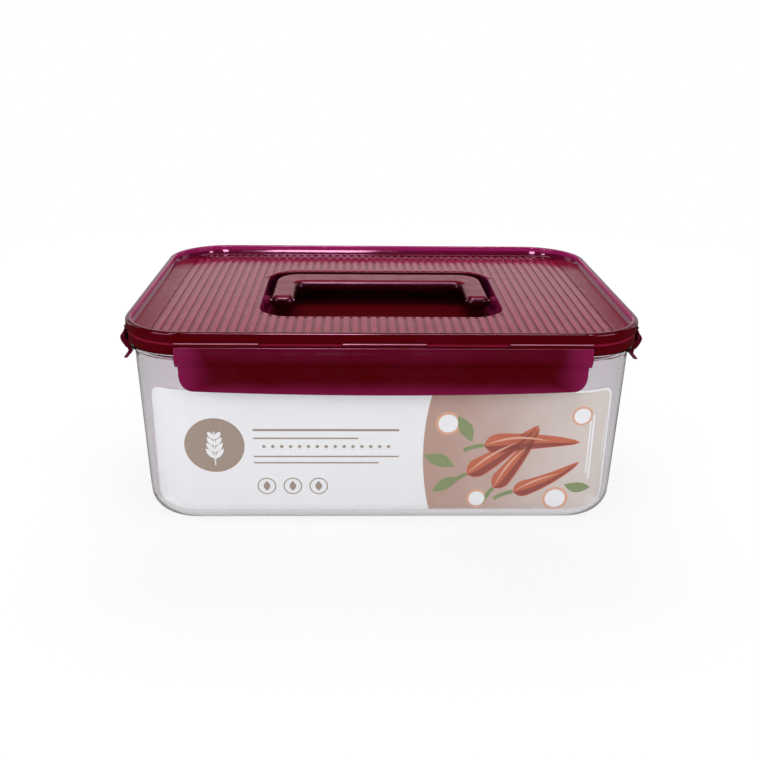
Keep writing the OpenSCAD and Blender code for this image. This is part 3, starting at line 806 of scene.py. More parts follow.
def burgundy(
        name, lid, bands, smooth, rough, inward=False, etched=None, glow=None, specular=0.5, shaded=()):
    """Moulded plastic, with a painted glow on thin edges and painted shade in shaded parts.

    The painted glow and sheen lie in bands, the painted shade in the shaded bands, each as (axis, start,
    full, share). A band along "+Y" or "+Z" counts that way only, and one along "X" counts from the
    middle to both sides. With inward set, only faces that look to the middle take the painted glow.
    Faces at the etched height are matt and paler. The painted glow takes the lid's colour for thin
    edges unless another glow is given.
    """
    material, tree, surface, place = blank(name)
    sides = node(tree, "ShaderNodeSeparateXYZ", {0: place}).outputs

    def most(parts):
        shown = 0.0
        for axis, start, full, part in parts:
            value = sides[axis[-1]] if axis[0] == "+" else maths(tree, "ABSOLUTE", sides[axis])
            shown = maths(tree, "MAXIMUM", shown, fade(tree, value, start, full, 0.0, part))
        return shown

    # Painted glow and sheen from the bands
    painted_glow = most(bands)
    if inward:
        normal = node(tree, "ShaderNodeNewGeometry").outputs["Normal"]
        flat = node(tree, "ShaderNodeVectorMath", {0: place, 1: (1.0, 1.0, 0.0)}, operation="MULTIPLY")
        aim = node(tree, "ShaderNodeVectorMath", {0: flat.outputs[0]}, operation="NORMALIZE")
        away = node(tree, "ShaderNodeVectorMath", {0: normal, 1: aim.outputs[0]}, operation="DOT_PRODUCT")
        painted_glow = maths(tree, "MULTIPLY", painted_glow, fade(tree, away.outputs["Value"], *INWARD))
    drift = sway(tree, place, scale=34.0, width=0.12)
    grain = cloud(tree, place, scale=1900.0, detail=2.0)
    painted_glow = maths(tree, "MAXIMUM", maths(tree, "ADD", painted_glow, drift), 0.0)
    gloss = patchy(tree, cloud(tree, place, scale=120.0), smooth, rough)
    tone = mixed(tree, painted_glow, lid.deep, glow or lid.glow)
    if etched is not None:
        apart = maths(tree, "ABSOLUTE", maths(tree, "SUBTRACT", sides["Z"], etched))
        gloss = maths(tree, "ADD", gloss, fade(tree, apart, *MATT_REACH, 0.0, lid.etching))
        tone = mixed(tree, fade(tree, apart, *PALE_REACH, 0.0, lid.groove_tone), tone, lid.blush)
    # Painted shade: the shaded bands darken the base colour towards the hollows' colour
    coat(tree, surface, {
        "Base Color": mixed(tree, most(shaded), tone, lid.hollow),
        "Roughness": gloss,
        "Specular IOR Level": specular,
        "IOR": 1.5,
        "Specular Tint": (*lid.sheen, 1.0),
        "Normal": bumped(tree, grain, strength=0.05, distance=0.00005)})
    return material


def clear_plastic(tub):
    """Clear moulded plastic with a faint lilac tint and slow waves, which lets the lamps through."""
    material, tree, surface, place = blank("clear_plastic")
    waves = cloud(tree, place, scale=22.0, detail=1.0)
    drift = cloud(tree, place, scale=30.0)
    patches = cloud(tree, place, scale=160.0)
    pale = [min(1.0, part * 1.02) for part in tub.tint]
    body = node(tree, "ShaderNodeBsdfPrincipled", {
        "Base Color": mixed(tree, drift, tub.tint, pale),
        "Roughness": patchy(tree, patches, smooth=0.0, rough=0.015),
        "IOR": 1.49,
        "Transmission Weight": 1.0,
        "Normal": bumped(tree, waves, strength=0.12, distance=0.0012)})
    through = node(tree, "ShaderNodeBsdfTransparent", {"Color": (*tub.shade, 1.0)})
    ray = node(tree, "ShaderNodeLightPath").outputs
    open_way = maths(tree, "MAXIMUM", ray["Is Shadow Ray"], ray["Is Diffuse Ray"])
    both = node(tree, "ShaderNodeMixShader", {0: open_way, 1: body.outputs[0], 2: through.outputs[0]})
    tree.links.new(both.outputs[0], surface)
    return material


def printed(name, tone, other=None, fade_x=None):
    """Print or bare card with paper grain, between two tones where two are given."""
    material, tree, surface, place = blank(name)
    grain = cloud(tree, place, scale=900.0, detail=4.0)
    pale = [min(1.0, part * 1.05) for part in tone]
    dark = [part * 0.95 for part in tone]
    shown = mixed(tree, grain, dark, pale)
    if other is not None:
        across = node(tree, "ShaderNodeSeparateXYZ", {0: place}).outputs["X"]
        blurred = maths(tree, "ADD", across, sway(tree, place, scale=60.0, width=0.03))
        shown = mixed(tree, fade(tree, blurred, *fade_x), other, shown)
    coat(tree, surface, {
        "Base Color": shown,
        "Roughness": patchy(tree, grain, smooth=0.49, rough=0.61),
        "Normal": bumped(tree, grain, strength=0.05, distance=0.00005)})
    return material


def soft_rubber():
    """Pale translucent rubber of the sealing ring."""
    material, tree, surface, place = blank("soft_rubber")
    grain = cloud(tree, place, scale=400.0)
    dark, pale = (0.60, 0.56, 0.59), (0.68, 0.64, 0.67)
    coat(tree, surface, {
        "Base Color": mixed(tree, grain, dark, pale),
        "Roughness": patchy(tree, grain, smooth=0.42, rough=0.58),
        "Normal": bumped(tree, grain, strength=0.05, distance=0.0001)})
    return material


# Operators

class CONTAINER_OT_stage(bpy.types.Operator):
    """Sets up the camera, the white surround, the pale floor, the soft lamps and the flags"""
    bl_idname = "container.make_stage"
    bl_label = "Stage"

    def execute(self, context):
        stage = context.scene.container_stage
        context.scene.view_settings.view_transform = "Standard"
        self.camera(context, stage)
        self.surround(context, stage)
        self.floor(stage)
        self.lamps()
        self.flags(stage)
        return {"FINISHED"}

    def camera(self, context, stage):
        """Camera at the photograph's viewing angle."""
        eye = bpy.data.cameras.new("camera")
        eye.lens = stage.lens
        made = placed("camera", eye)
        turn = (Matrix.Rotation(stage.yaw, 4, "Z") @ Matrix.Rotation(math.pi / 2 - stage.pitch, 4, "X")
                @ Matrix.Rotation(stage.roll, 4, "Z"))
        made.matrix_world = Matrix.Translation(stage.camera_place) @ turn
        context.scene.camera = made

    def surround(self, context, stage):
        """White surround for what is seen, and even fill light for the rest."""
        world = bpy.data.worlds.new("surround")
        world.use_nodes = True
        context.scene.world = world
        tree = world.node_tree
        tree.nodes.clear()
        ray = node(tree, "ShaderNodeLightPath").outputs
        seen = maths(tree, "MAXIMUM", ray["Is Camera Ray"], ray["Is Transmission Ray"])
        seen = maths(tree, "MAXIMUM", seen, ray["Is Glossy Ray"])
        fill = node(tree, "ShaderNodeBackground", {
            "Color": (*stage.fill_colour, 1.0), "Strength": stage.fill})
        white = node(tree, "ShaderNodeBackground", {"Color": (1.0, 1.0, 1.0, 1.0), "Strength": 1.0})
        both = node(tree, "ShaderNodeMixShader", {0: seen, 1: fill.outputs[0], 2: white.outputs[0]})
        node(tree, "ShaderNodeOutputWorld", {"Surface": both.outputs[0]})

    def board(self, name, corners, material, unseen=()):
        """Flat board of the stage, which some kinds of rays don't see."""
        mesh = bpy.data.meshes.new(name)
        mesh.from_pydata(corners, [], [(0, 1, 2, 3)])
        mesh.materials.append(material)
        made = placed(name, mesh)
        for ray in unseen:
            setattr(made, "visible_" + ray, False)

    def level(self, low_x, low_y, high_x, high_y, z):
        """Corners of a level board."""
        return [(low_x, low_y, z), (high_x, low_y, z), (high_x, high_y, z), (low_x, high_y, z)]

    def upright(self, a, b, low, high):
        """Corners of an upright board over a line from a to b."""
        return [(*a, low), (*b, low), (*b, high), (*a, high)]

    def floor(self, stage):
        """Pale floor that keeps the container's shadow, and is darker where it is seen through the tub, as
        painted shade for the tub's shaded inside.
        """
        material, tree, surface, place = blank("pale_floor")
        ray = node(tree, "ShaderNodeLightPath").outputs
        away = node(tree, "ShaderNodeVectorMath", {0: place}, operation="LENGTH").outputs["Value"]
        seen = maths(tree, "MAXIMUM", ray["Is Camera Ray"], ray["Is Glossy Ray"])
        bare = fade(tree, away, stage.shadow_end / 2, stage.shadow_end, stage.glow, 1.0)
        part = maths(tree, "MULTIPLY", seen, bare)
        # Painted shade: the floor's light is weaker where it is seen through the tub, near the tub and
        # behind it
        painted_dimming = (1.0 - stage.near_through, 1.0 - stage.far_through)
        within = fade(tree, away, stage.near_end, stage.far_start, *painted_dimming)
        painted_shade_through = maths(tree, "MULTIPLY", ray["Is Transmission Ray"], within)
        paint = node(tree, "ShaderNodeBsdfDiffuse", {"Color": (stage.paint, stage.paint, stage.paint, 1.0)})
        glow = node(tree, "ShaderNodeEmission", {"Strength": maths(tree, "SUBTRACT", 1.0, painted_shade_through)})
        both = node(tree, "ShaderNodeMixShader", {0: part, 1: paint.outputs[0], 2: glow.outputs[0]})
        tree.links.new(both.outputs[0], surface)
        half = stage.floor_size / 2
        self.board("floor", self.level(-half, -half, half, half, -stage.floor_drop), material)

    def lamps(self):
        """Soft lamps behind, beside and over the container, some of them for its gloss alone."""
        aim = Vector((0.0, 0.0, 0.06))
        for name, place, width, height, power, use in (
                ("back_lamp", (0.0, 0.85, 1.15), 1.0, 0.6, 14.0, "diffuse"),
                ("left_lamp", (-1.15, -1.05, 0.55), 0.9, 0.9, 10.0, "both"),
                ("right_lamp", (1.25, -0.95, 0.5), 0.9, 0.9, 9.2, "both"),
                ("edge_lamp", (0.05, -0.27, 1.5), 0.8, 0.3, 11.0, "glossy"),
                ("strip_lamp", (-0.08, -0.56, 1.2), 0.2, 0.3, 5.6, "glossy"),
                ("left_spot", (-0.55, -0.45, 1.15), 0.12, 0.12, 1.4, "glossy"),
                ("right_spot", (0.5, -0.45, 1.15), 0.12, 0.12, 1.4, "glossy")):
            lamp = bpy.data.lights.new(name, "AREA")
            lamp.shape = "RECTANGLE"
            lamp.size = width
            lamp.size_y = height
            lamp.energy = power
            made = placed(name, lamp)
            made.visible_glossy = use != "diffuse"
            made.visible_diffuse = use != "glossy"
            made.matrix_world = Matrix.Translation(place) @ towards(Vector(place) - aim)

    def flags(self, stage):
        """Dark flags all round and a grey board at the back, which only the container's gloss sees."""
        far, lift, top = stage.flag_far, stage.flag_lift, stage.board_top
        near_x, near_y = (CAD_BOX[1][axis] + stage.flag_gap for axis in (0, 1))
        level, upright = self.level, self.upright
        dark, grey = stage.flag_tone, stage.board_tone
        unseen = ("camera", "diffuse", "transmission", "shadow", "volume_scatter")
        for name, corners, tone in (
                ("front_flag", upright((-far, -far), (far, -far), 0.0, far), dark),
                ("left_flag", upright((-far, far / 2), (-far, -far), 0.0, far), dark),
                ("right_flag", upright((far, -far), (far, far / 2), 0.0, far), dark),
                ("back_board", upright((far, far), (-far, far), 0.0, top), grey),
                ("back_flag", upright((far, far), (-far, far), top, far), dark),
                ("top_flag", level(-far, -far, far, far, far), dark),
                ("floor_flag_front", level(-far, -far, far, -near_y, lift), dark),
                ("floor_flag_back", level(-far, near_y, far, far, lift), dark),
                ("floor_flag_left", level(-far, -near_y, -near_x, near_y, lift), dark),
                ("floor_flag_right", level(near_x, -near_y, far, near_y, lift), dark)):
            material, tree, surface = blank(name + "_cloth")[:3]
            cloth = node(tree, "ShaderNodeEmission", {"Color": (tone, tone, tone, 1.0), "Strength": 1.0})
            tree.links.new(cloth.outputs[0], surface)
            self.board(name, corners, material, unseen)


class CONTAINER_OT_tub(bpy.types.Operator):
    """Makes the clear tub, a section carried round the corners"""
    bl_idname = "container.make_tub"
    bl_label = "Tub"

    def execute(self, context):
        scene = context.scene
        tub, at = scene.container_tub, levels(scene)
        section = self.section(scene, tub, at)
        radius = scene.container_lid.corner
        plastic = clear_plastic(tub)
        seed = line_mesh("tub_section", [(out - radius, -up, 0.0) for out, up in section])
        mesh = grown("clear_tub", seed, sweep_tree(), {
            "Corner X": at.corner_x, "Corner Y": at.corner_y, "Radius": radius,
            "Corner steps": tub.corner_steps, "Material": plastic})
        shell = as_shell(mesh)
        open_edges = [line for line in shell.edges if len(line.link_faces) == 1]
        bmesh.ops.holes_fill(shell, edges=open_edges, sides=0)
        bmesh.ops.recalc_face_normals(shell, faces=shell.faces)
        piece("clear_tub", [shell], plastic, "tub", ["container_body"])
        return {"FINISHED"}

    def section(self, scene, tub, at):
        """Section of floor, fillets, wall, flange and mouth, from the underside to the inside."""
        lean = math.degrees(tub.draft)
        outer_c = wall_out(scene, tub.base_round) - tub.base_round / math.cos(tub.draft)
        radius, height, middle = inner_round(scene)
        shoulder, lip = tub.flange_round, tub.lip_round
        return [
            (CLOSING, tub.foot_hollow),
            (outer_c - tub.foot - tub.foot_hollow, tub.foot_hollow),
            (outer_c - tub.foot, 0.0),
            *arc(outer_c, tub.base_round, tub.base_round, -90, -lean, 14),
            (wall_out(scene, at.flange_low), at.flange_low),
            (at.flange_out - tub.flange_bevel, at.flange_low),
            (at.flange_out, at.flange_low + tub.flange_bevel),
            *arc(at.flange_out - shoulder, at.flange_top - shoulder, shoulder, 0, 90, 5),
            (wall_out(scene, at.flange_top), at.flange_top),
            *arc(wall_out(scene, at.mouth) - lip, at.mouth - lip, lip, 0, 90, 5),
            *arc(wall_in(scene, at.mouth) + lip, at.mouth - lip, lip, 90, 180, 5),
            *arc(middle, height, radius, -lean, -90, 12),
            (CLOSING, tub.floor)]


class CONTAINER_OT_lid(bpy.types.Operator):
    """Makes the lid: the moulding with its pocket and bosses, the ribs and the end ramps"""
    bl_idname = "container.make_lid"
    bl_label = "Lid"

    def execute(self, context):
        scene = context.scene
        lid, field, pocket, at = (
            scene.container_lid, scene.container_field, scene.container_pocket, levels(scene))
        thin = at.field + lid.step_at
        wall = pocket.width / 2
        # Painted light: a painted glow on the rim's thin top, its inner wall and the pocket's side walls,
        # and a painted sheen on the ribs and the ramps
        rim_painted_glow = ("+Z", thin - 0.0002, thin + 0.0004, 1.0)
        wall_painted_light = ("+Z", at.field - 0.0002, at.field + 0.0006, 0.2)
        rib_painted_sheen = ("+Z", at.groove, at.field, lid.painted_rib_sheen)
        ramp_painted_sheen = ("+Z", at.groove, at.field, 0.4)
        pocket_painted_light = ("X", wall - 0.004, wall - 0.001, 0.35)
        # Painted shade: the back rim's shade on the ribs and the grip's shadow on the pocket's floor
        back_painted_shade = ("+Y", LID_HIGH.y - 0.02, LID_HIGH.y - 0.013, 0.55)
        grip_painted_shadow = ("+Y", 0.008, 0.024, 0.6)
        gloss = burgundy(
            "burgundy_gloss", lid, (rim_painted_glow, wall_painted_light), smooth=0.06, rough=0.1,
            inward=True, etched=at.groove)
        satin = burgundy(
            "burgundy_satin", lid, (rib_painted_sheen,), smooth=0.1, rough=0.16,
            glow=lid.blush, shaded=(back_painted_shade,))
        lining = burgundy(
            "burgundy_pocket", lid, (pocket_painted_light,), smooth=0.4, rough=0.5,
            specular=0.05, shaded=(grip_painted_shadow,))
        ramp_gloss = burgundy(
            "burgundy_ramps", lid, (ramp_painted_sheen,), smooth=0.2, rough=0.26, glow=lid.blush)
        shells = [loft(self.profile(scene, lid, field, pocket, at)), *self.bosses(scene, pocket)]
        made = piece("lid_moulding", shells, gloss, "lid", ["lid"])
        self.line_pocket(made, pocket, at, lining)
        piece("lid_ribs", self.ribs(field, pocket, at, satin), satin, "lid")
        ramps = [self.ramp(side, lid, field, at) for side in (-1, 1)]
        piece("lid_ramps", ramps, ramp_gloss, "lid")
        return {"FINISHED"}

    def ribs(self, field, pocket, at, satin):
        """Ribs across the field, in two runs where the pocket lies between and in one beside it."""
        mouth = pocket.lip + pocket.ring / 2
        beside = at.pocket_x + pocket.corner + field.pitch / 4
        row = rib_tree()
        shells = []
        for runs, nearest, farthest in (
                ([(-1.0, -mouth), (mouth, 1.0)], -1.0, beside),
                ([(-1.0, 1.0)], beside, 1.0)):
            ribs = grown("lid_ribs", self.rib(field, runs), row, {
                "Count": self.rib_count(field, at), "Pitch": field.pitch, "Height": at.groove,
                "Nearest": nearest, "Farthest": farthest, "Overlap": field.overlap,
                "Corner X": at.corner_x, "Corner Y": at.corner_y, "Radius": at.field_edge,
                "Pocket X": at.pocket_x, "Pocket Y": at.pocket_y, "Pocket radius": pocket.corner,
                "Material": satin})
            shells.append(as_shell(ribs))
        return shells

    def line_pocket(self, made, pocket, at, material):
        """Gives the faces inside the pocket a material of their own."""
        made.data.materials.append(material)
        for face in made.data.polygons:
            x, y, z = face.center
            out = math.hypot(max(abs(x) - at.pocket_x, 0.0), max(abs(y) - at.pocket_y, 0.0))
            inside = out < pocket.corner + pocket.lip / 4
            face.material_index = int(inside and z > at.pocket_floor - pocket.wall / 2)

    def rib_count(self, field, at):
        """Ribs that fit between the two end ramps."""
        last_groove = math.floor((at.corner_x + at.rim_in - field.ramp) / field.pitch - 0.5)
        return 2 * last_groove + 1

    def rib(self, field, runs):
        """Rib along Y in one or more runs (start, end), with its foot sunk below the grooves."""
        half = (field.pitch - field.groove) / 2
        r = field.rib_round
        foot = -field.depth / 2
        outline = [(-half, foot), *arc(-half + r, field.depth - r, r, 180, 90, 4),
                   *arc(half - r, field.depth - r, r, 90, 0, 4), (half, foot)]
        shell = bmesh.new()
        for run in runs:
            skin(shell, [[(x, y, z) for x, z in outline] for y in run])
        return as_mesh("rib", shell)

    def profile(self, scene, lid, field, pocket, at):
        """Loops from the pocket's floor over the field, rim, skirt and plug ring to the underside."""
        top = at.field + field.proud
        mouth = at.groove + pocket.ring_rise * field.depth
        base = pocket.base_round
        floor_r = pocket.corner - (pocket.drop - pocket.lip) * math.tan(pocket.draft)
        ring_out = pocket.corner + pocket.lip + pocket.ring
        inside = [
            (CLOSING, at.pocket_floor),
            *arc(floor_r - base, at.pocket_floor + base, base, -90, 0, 8),
            *arc(pocket.corner + pocket.lip, mouth - pocket.lip, pocket.lip, 180, 90, 8),
            (ring_out, mouth),
            (ring_out, at.groove)]
        skirt_out = lid.corner - lid.skirt_step
        skirt_in = skirt_out - lid.skirt_wall
        plug_out = wall_in(scene, at.plug_low) - lid.plug_gap
        plug_in = plug_out - lid.plug_wall
        edge = [
            (at.field_edge, at.groove),
            *arc(at.field_edge, top + lid.rim_foot, lid.rim_foot, -90, 0, 4),
            (at.rim_in - lid.step_width, at.field + lid.step_at - lid.step_drop),
            (at.rim_in, at.field + lid.step_at),
            *arc(at.rim_in + lid.rim_in, at.rim - lid.rim_in, lid.rim_in, 180, 90, 8),
            *arc(lid.corner - lid.rim_out, at.rim - lid.rim_out, lid.rim_out, 90, 0, 8),
            (lid.corner, at.band + lid.band_edge),
            (lid.corner - lid.band_edge, at.band),
            (skirt_out, at.band),
            (skirt_out, at.skirt_low + lid.skirt_edge),
            (skirt_out - lid.skirt_edge, at.skirt_low),
            (skirt_in, at.skirt_low),
            (skirt_in, at.panel),
            (plug_out, at.panel),
            (plug_out, at.plug_low + lid.plug_edge),
            (plug_out - lid.plug_edge, at.plug_low),
            (plug_in + lid.plug_edge, at.plug_low),
            (plug_in, at.plug_low + lid.plug_edge),
            (plug_in, at.panel)]
        outer_base = base + pocket.wall
        under = [
            (pocket.corner + pocket.wall, at.panel),
            *arc(floor_r - base, at.pocket_floor + base, outer_base, 0, -90, 8),
            (CLOSING, at.pocket_floor - pocket.wall)]
        return ([(at.pocket_x, at.pocket_y, *point) for point in inside]
                + [(at.corner_x, at.corner_y, *point) for point in edge]
                + [(at.pocket_x, at.pocket_y, *point) for point in under])

    def ramp(self, side, lid, field, at):
        """Smooth end of the field, which rises towards the rim."""
        last_groove = (self.rib_count(field, at) / 2) * field.pitch
        inner = last_groove + field.groove / 2
        ramp_start = at.corner_x + at.rim_in - field.ramp
        rise = field.ramp_rise / (field.ramp + lid.rim_width / 2)
        buried = at.rim_in + lid.rim_width / 4
        turn = math.degrees(math.acos((inner - at.corner_x) / buried))
        outline = [*arc(at.corner_x, -at.corner_y, buried, -turn, 0, 14),
                   *arc(at.corner_x, at.corner_y, buried, 0, turn, 14)]
        soft = field.ramp_soft

        def top(u, v):
            past = u - ramp_start
            if past <= -soft:
                return at.field + field.proud
            if past < soft:
                return at.field + field.proud + rise * (past + soft) ** 2 / (4 * soft)
            return at.field + field.proud + rise * past

        cuts = [ramp_start - soft, *spread(ramp_start - soft, ramp_start + soft, 6), ramp_start + soft]
        return plate(outline, top, lambda u, v: at.groove - field.depth / 2,
                     lambda u, v, w: (side * u, v, w), edge=field.ramp_edge, cuts_u=cuts)

    def bosses(self, scene, pocket):
        """Bosses in the pocket's walls that hold the handle's studs."""
        pivot = Vector(JOINTS["handle_swing"]["pos_m"])
        start = pocket.width / 2 - scene.container_handle.gap + pocket.boss_gap
        end = pocket.width / 2 + pocket.wall / 2
        return [rod((side * start, pivot.y, pivot.z), (side * end, pivot.y, pivot.z), pocket.boss)
                for side in (-1, 1)]


class CONTAINER_OT_seal(bpy.types.Operator):
    """Dresses the sealing ring under the lid"""
    bl_idname = "container.make_seal"
    bl_label = "Seal"

    def execute(self, context):
        ring = frame["nodes"]["lid_seal"]
        ring.data.materials.clear()
        ring.data.materials.append(soft_rubber())
        return {"FINISHED"}


class CONTAINER_OT_latches(bpy.types.Operator):
    """Makes the four latches, each with its row of hinge strips"""
    bl_idname = "container.make_latches"
    bl_label = "Latches"

    def execute(self, context):
        scene = context.scene
        lid, latch, at = scene.container_lid, scene.container_latch, levels(scene)
        row = row_tree()
        turns = {"front_latch": 180, "rear_latch": 0, "left_latch": 90, "right_latch": 270}
        for body, turn in turns.items():
            low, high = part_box(body)
            sizes = high - low
            long = sizes.x > sizes.y
            hinge = JOINTS[body + "_hinge"]["pos_m"]
            one = SimpleNamespace(
                body=body, turn=turn, tip=low.z, hinge=hinge, whole=max(sizes.x, sizes.y),
                edge=LID_HIGH.y if long else LID_HIGH.x,
                corner=latch.long_corner if long else latch.short_corner,
                bow=latch.bow if long else 0.0)
            # Painted light: a painted glow on the shoulder and the lip, for light through thin plastic, and
            # on the long latches' ends, for the side lamps
            shoulder_painted_glow = ("+Z", hinge[2] - 0.010, hinge[2] - 0.004, 0.08)
            lip_painted_glow = ("+Z", low.z + 0.007, low.z + 0.001, 0.27)
            end_painted_light = ("X", one.whole * 0.4, one.whole * 0.49, 0.4 if long else 0.0)
            # Painted highlight along the hinge beads
            bead_painted_highlight = ("+Z", hinge[2] + 0.0001, hinge[2] + 0.0004, 1.0)
            painted_glows = (shoulder_painted_glow, lip_painted_glow, end_painted_light)
            shine = burgundy(body + "_gloss", lid, painted_glows, smooth=0.1, rough=0.2)
            film = burgundy(
                body + "_hinge_gloss", lid, (bead_painted_highlight,), smooth=0.1, rough=0.2, glow=lid.film)
            self.latch(one, latch, lid, at, shine)
            self.hinge(one, latch, row, film)
        return {"FINISHED"}

    def turned(self, turn, edge):
        """Placing of a latch that is drawn along X with its face towards +Y, at the lid's edge."""
        spin = Matrix.Rotation(math.radians(turn), 3, "Z")
        return lambda u, v, w: spin @ Vector((u, edge + w, v))

    def latch(self, one, latch, lid, at, shine):
        """Curved plate with a shoulder, a hook behind it and a flared lip."""
        tip, corner, bow = one.tip, one.corner, one.bow
        top = one.hinge[2] - latch.film_height
        top_in = latch.bead + latch.film_gap - lid.skirt_step - latch.film / 2
        hook_z = at.flange_low - latch.hook_gap
        hook_out = -at.flange_inset - latch.hook
        tab_z = hook_z - latch.tab_drop
        waist_z = tab_z - latch.waist_drop
        outside = [(top, top_in + latch.top_edge), (at.flange_top, latch.shoulder),
                   (waist_z, -latch.waist), (tip, latch.lip)]
        lip_inside = [(waist_z + latch.slant, -latch.waist - latch.thickness),
                      (tip + latch.slant, latch.lip - latch.thickness)]
        inside = [(top, top_in), (at.flange_top, latch.shoulder - latch.thickness),
                  (at.flange_low + latch.hook, latch.hook_gap - at.flange_inset), (hook_z, hook_out),
                  (hook_z - latch.hook_tip, hook_out), lip_inside[0]]

        def back(u, v):
            if v < lip_inside[0][0]:
                return along(lip_inside, v)
            return along(inside, v, eased=False)

        half = one.whole / 2
        tab = half - latch.step
        flat = tab - corner
        lower = []
        if bow:
            steps = 24
            shares = [1 - 2 * step / steps for step in range(1, steps)]
            lower = [(flat * part, tip + bow * part * part) for part in shares]
        outline = [
            (half, top), (half, tab_z), (tab, tab_z),
            *arc(flat, tip + bow + corner, corner, 0, -90, 12),
            *lower,
            *arc(-flat, tip + bow + corner, corner, -90, -180, 12),
            (-tab, tab_z), (-half, tab_z), (-half, top)]
        rows = spread(top, at.flange_top, 8) + spread(at.flange_top, waist_z, 14) + spread(waist_z, tip, 16)
        rows += [station[0] for station in inside[1:]] + [waist_z]
        place = self.turned(one.turn, one.edge)
        shell = plate(outline, lambda u, v: along(outside, v), back, place, latch.edge, cuts_v=rows)
        piece(one.body + "_plate", [shell], shine, one.body, [one.body])

    def hinge(self, one, latch, row, film):
        """Row of film strips with a bead along their upper edge."""
        strip = one.whole / (2 * latch.strips - 1)
        x, y, z = one.hinge
        out = max(abs(x), abs(y)) - one.edge
        half = latch.film / 2
        turn_in = math.degrees(math.asin(half / latch.bead))
        low = z - latch.film_height - latch.film
        bead = arc(out, z, latch.bead, 270 - turn_in, turn_in - 90, 14)
        section = [(out - half, low), *bead, (out + half, low)]
        place = self.turned(0, one.edge)
        ends = [[place(end, up, w) for w, up in section] for end in (-strip / 2, strip / 2)]
        seed = as_mesh("strip", skin(bmesh.new(), ends))
        strips = grown(one.body + "_hinge", seed, row, {
            "Count": latch.strips, "Spacing": 2 * strip, "Material": film})
        strips.transform(Matrix.Rotation(math.radians(one.turn), 4, "Z"))
        finished(one.body + "_strips", strips, film, one.body)


class CONTAINER_OT_handle(bpy.types.Operator):
    """Makes the U-shaped carry handle with its two pivot studs"""
    bl_idname = "container.make_handle"
    bl_label = "Handle"

    def execute(self, context):
        scene = context.scene
        handle, pocket, lid = scene.container_handle, scene.container_pocket, scene.container_lid
        out = pocket.width / 2 - handle.gap
        inn = out - handle.arm
        front, back = HANDLE_LOW.y, HANDLE_HIGH.y
        low, high = HANDLE_LOW.z, HANDLE_HIGH.z
        inner_back = back - handle.grip
        r, q, tip = handle.corner, handle.inner_corner, handle.tip
        edge, nose = handle.edge, handle.nose
        outline = [
            *arc(out - r, back - r, r, 0, 90, 14),
            *arc(-out + r, back - r, r, 90, 180, 14),
            *arc(-out + tip, front + tip, tip, 180, 270, 8),
            *arc(-inn - tip, front + tip, tip, 270, 360, 8),
            *arc(-inn + q, inner_back - q, q, 180, 90, 8),
            *arc(inn - q, inner_back - q, q, 90, 0, 8),
            *arc(inn + tip, front + tip, tip, 180, 270, 8),
            *arc(out - tip, front + tip, tip, 270, 360, 8)]

        def relief(u, v):
            return max(drop(nose, v - front) - drop(edge, edge_distance(u, v, outline)), 0.0)

        nose_cuts = [front + nose * part for part in (0.03, 0.1, 0.2, 0.35, 0.55, 0.75, 1.0)]
        bail = plate(
            outline, lambda u, v: high - relief(u, v), lambda u, v: low + relief(u, v),
            lambda u, v, w: (u, v, w), edge, cuts_v=nose_cuts)
        pivot = Vector(JOINTS["handle_swing"]["pos_m"])
        studs = [rod((side * inn, pivot.y, pivot.z), (side * HANDLE_HIGH.x, pivot.y, pivot.z), handle.stud)
                 for side in (-1, 1)]
        # Painted sheen on the handle's top and painted shade down its sides
        top_painted_sheen = ("+Z", high - 0.001, high, 0.36)
        side_painted_shade = ("+Z", high - 0.0005, high - 0.003, 0.72)
        gloss = burgundy(
            "handle_gloss", lid, (top_painted_sheen,), smooth=0.22, rough=0.28,
            glow=lid.blush, shaded=(side_painted_shade,))
        piece("handle_bail", [bail, *studs], gloss, "handle", ["handle"])
        return {"FINISHED"}


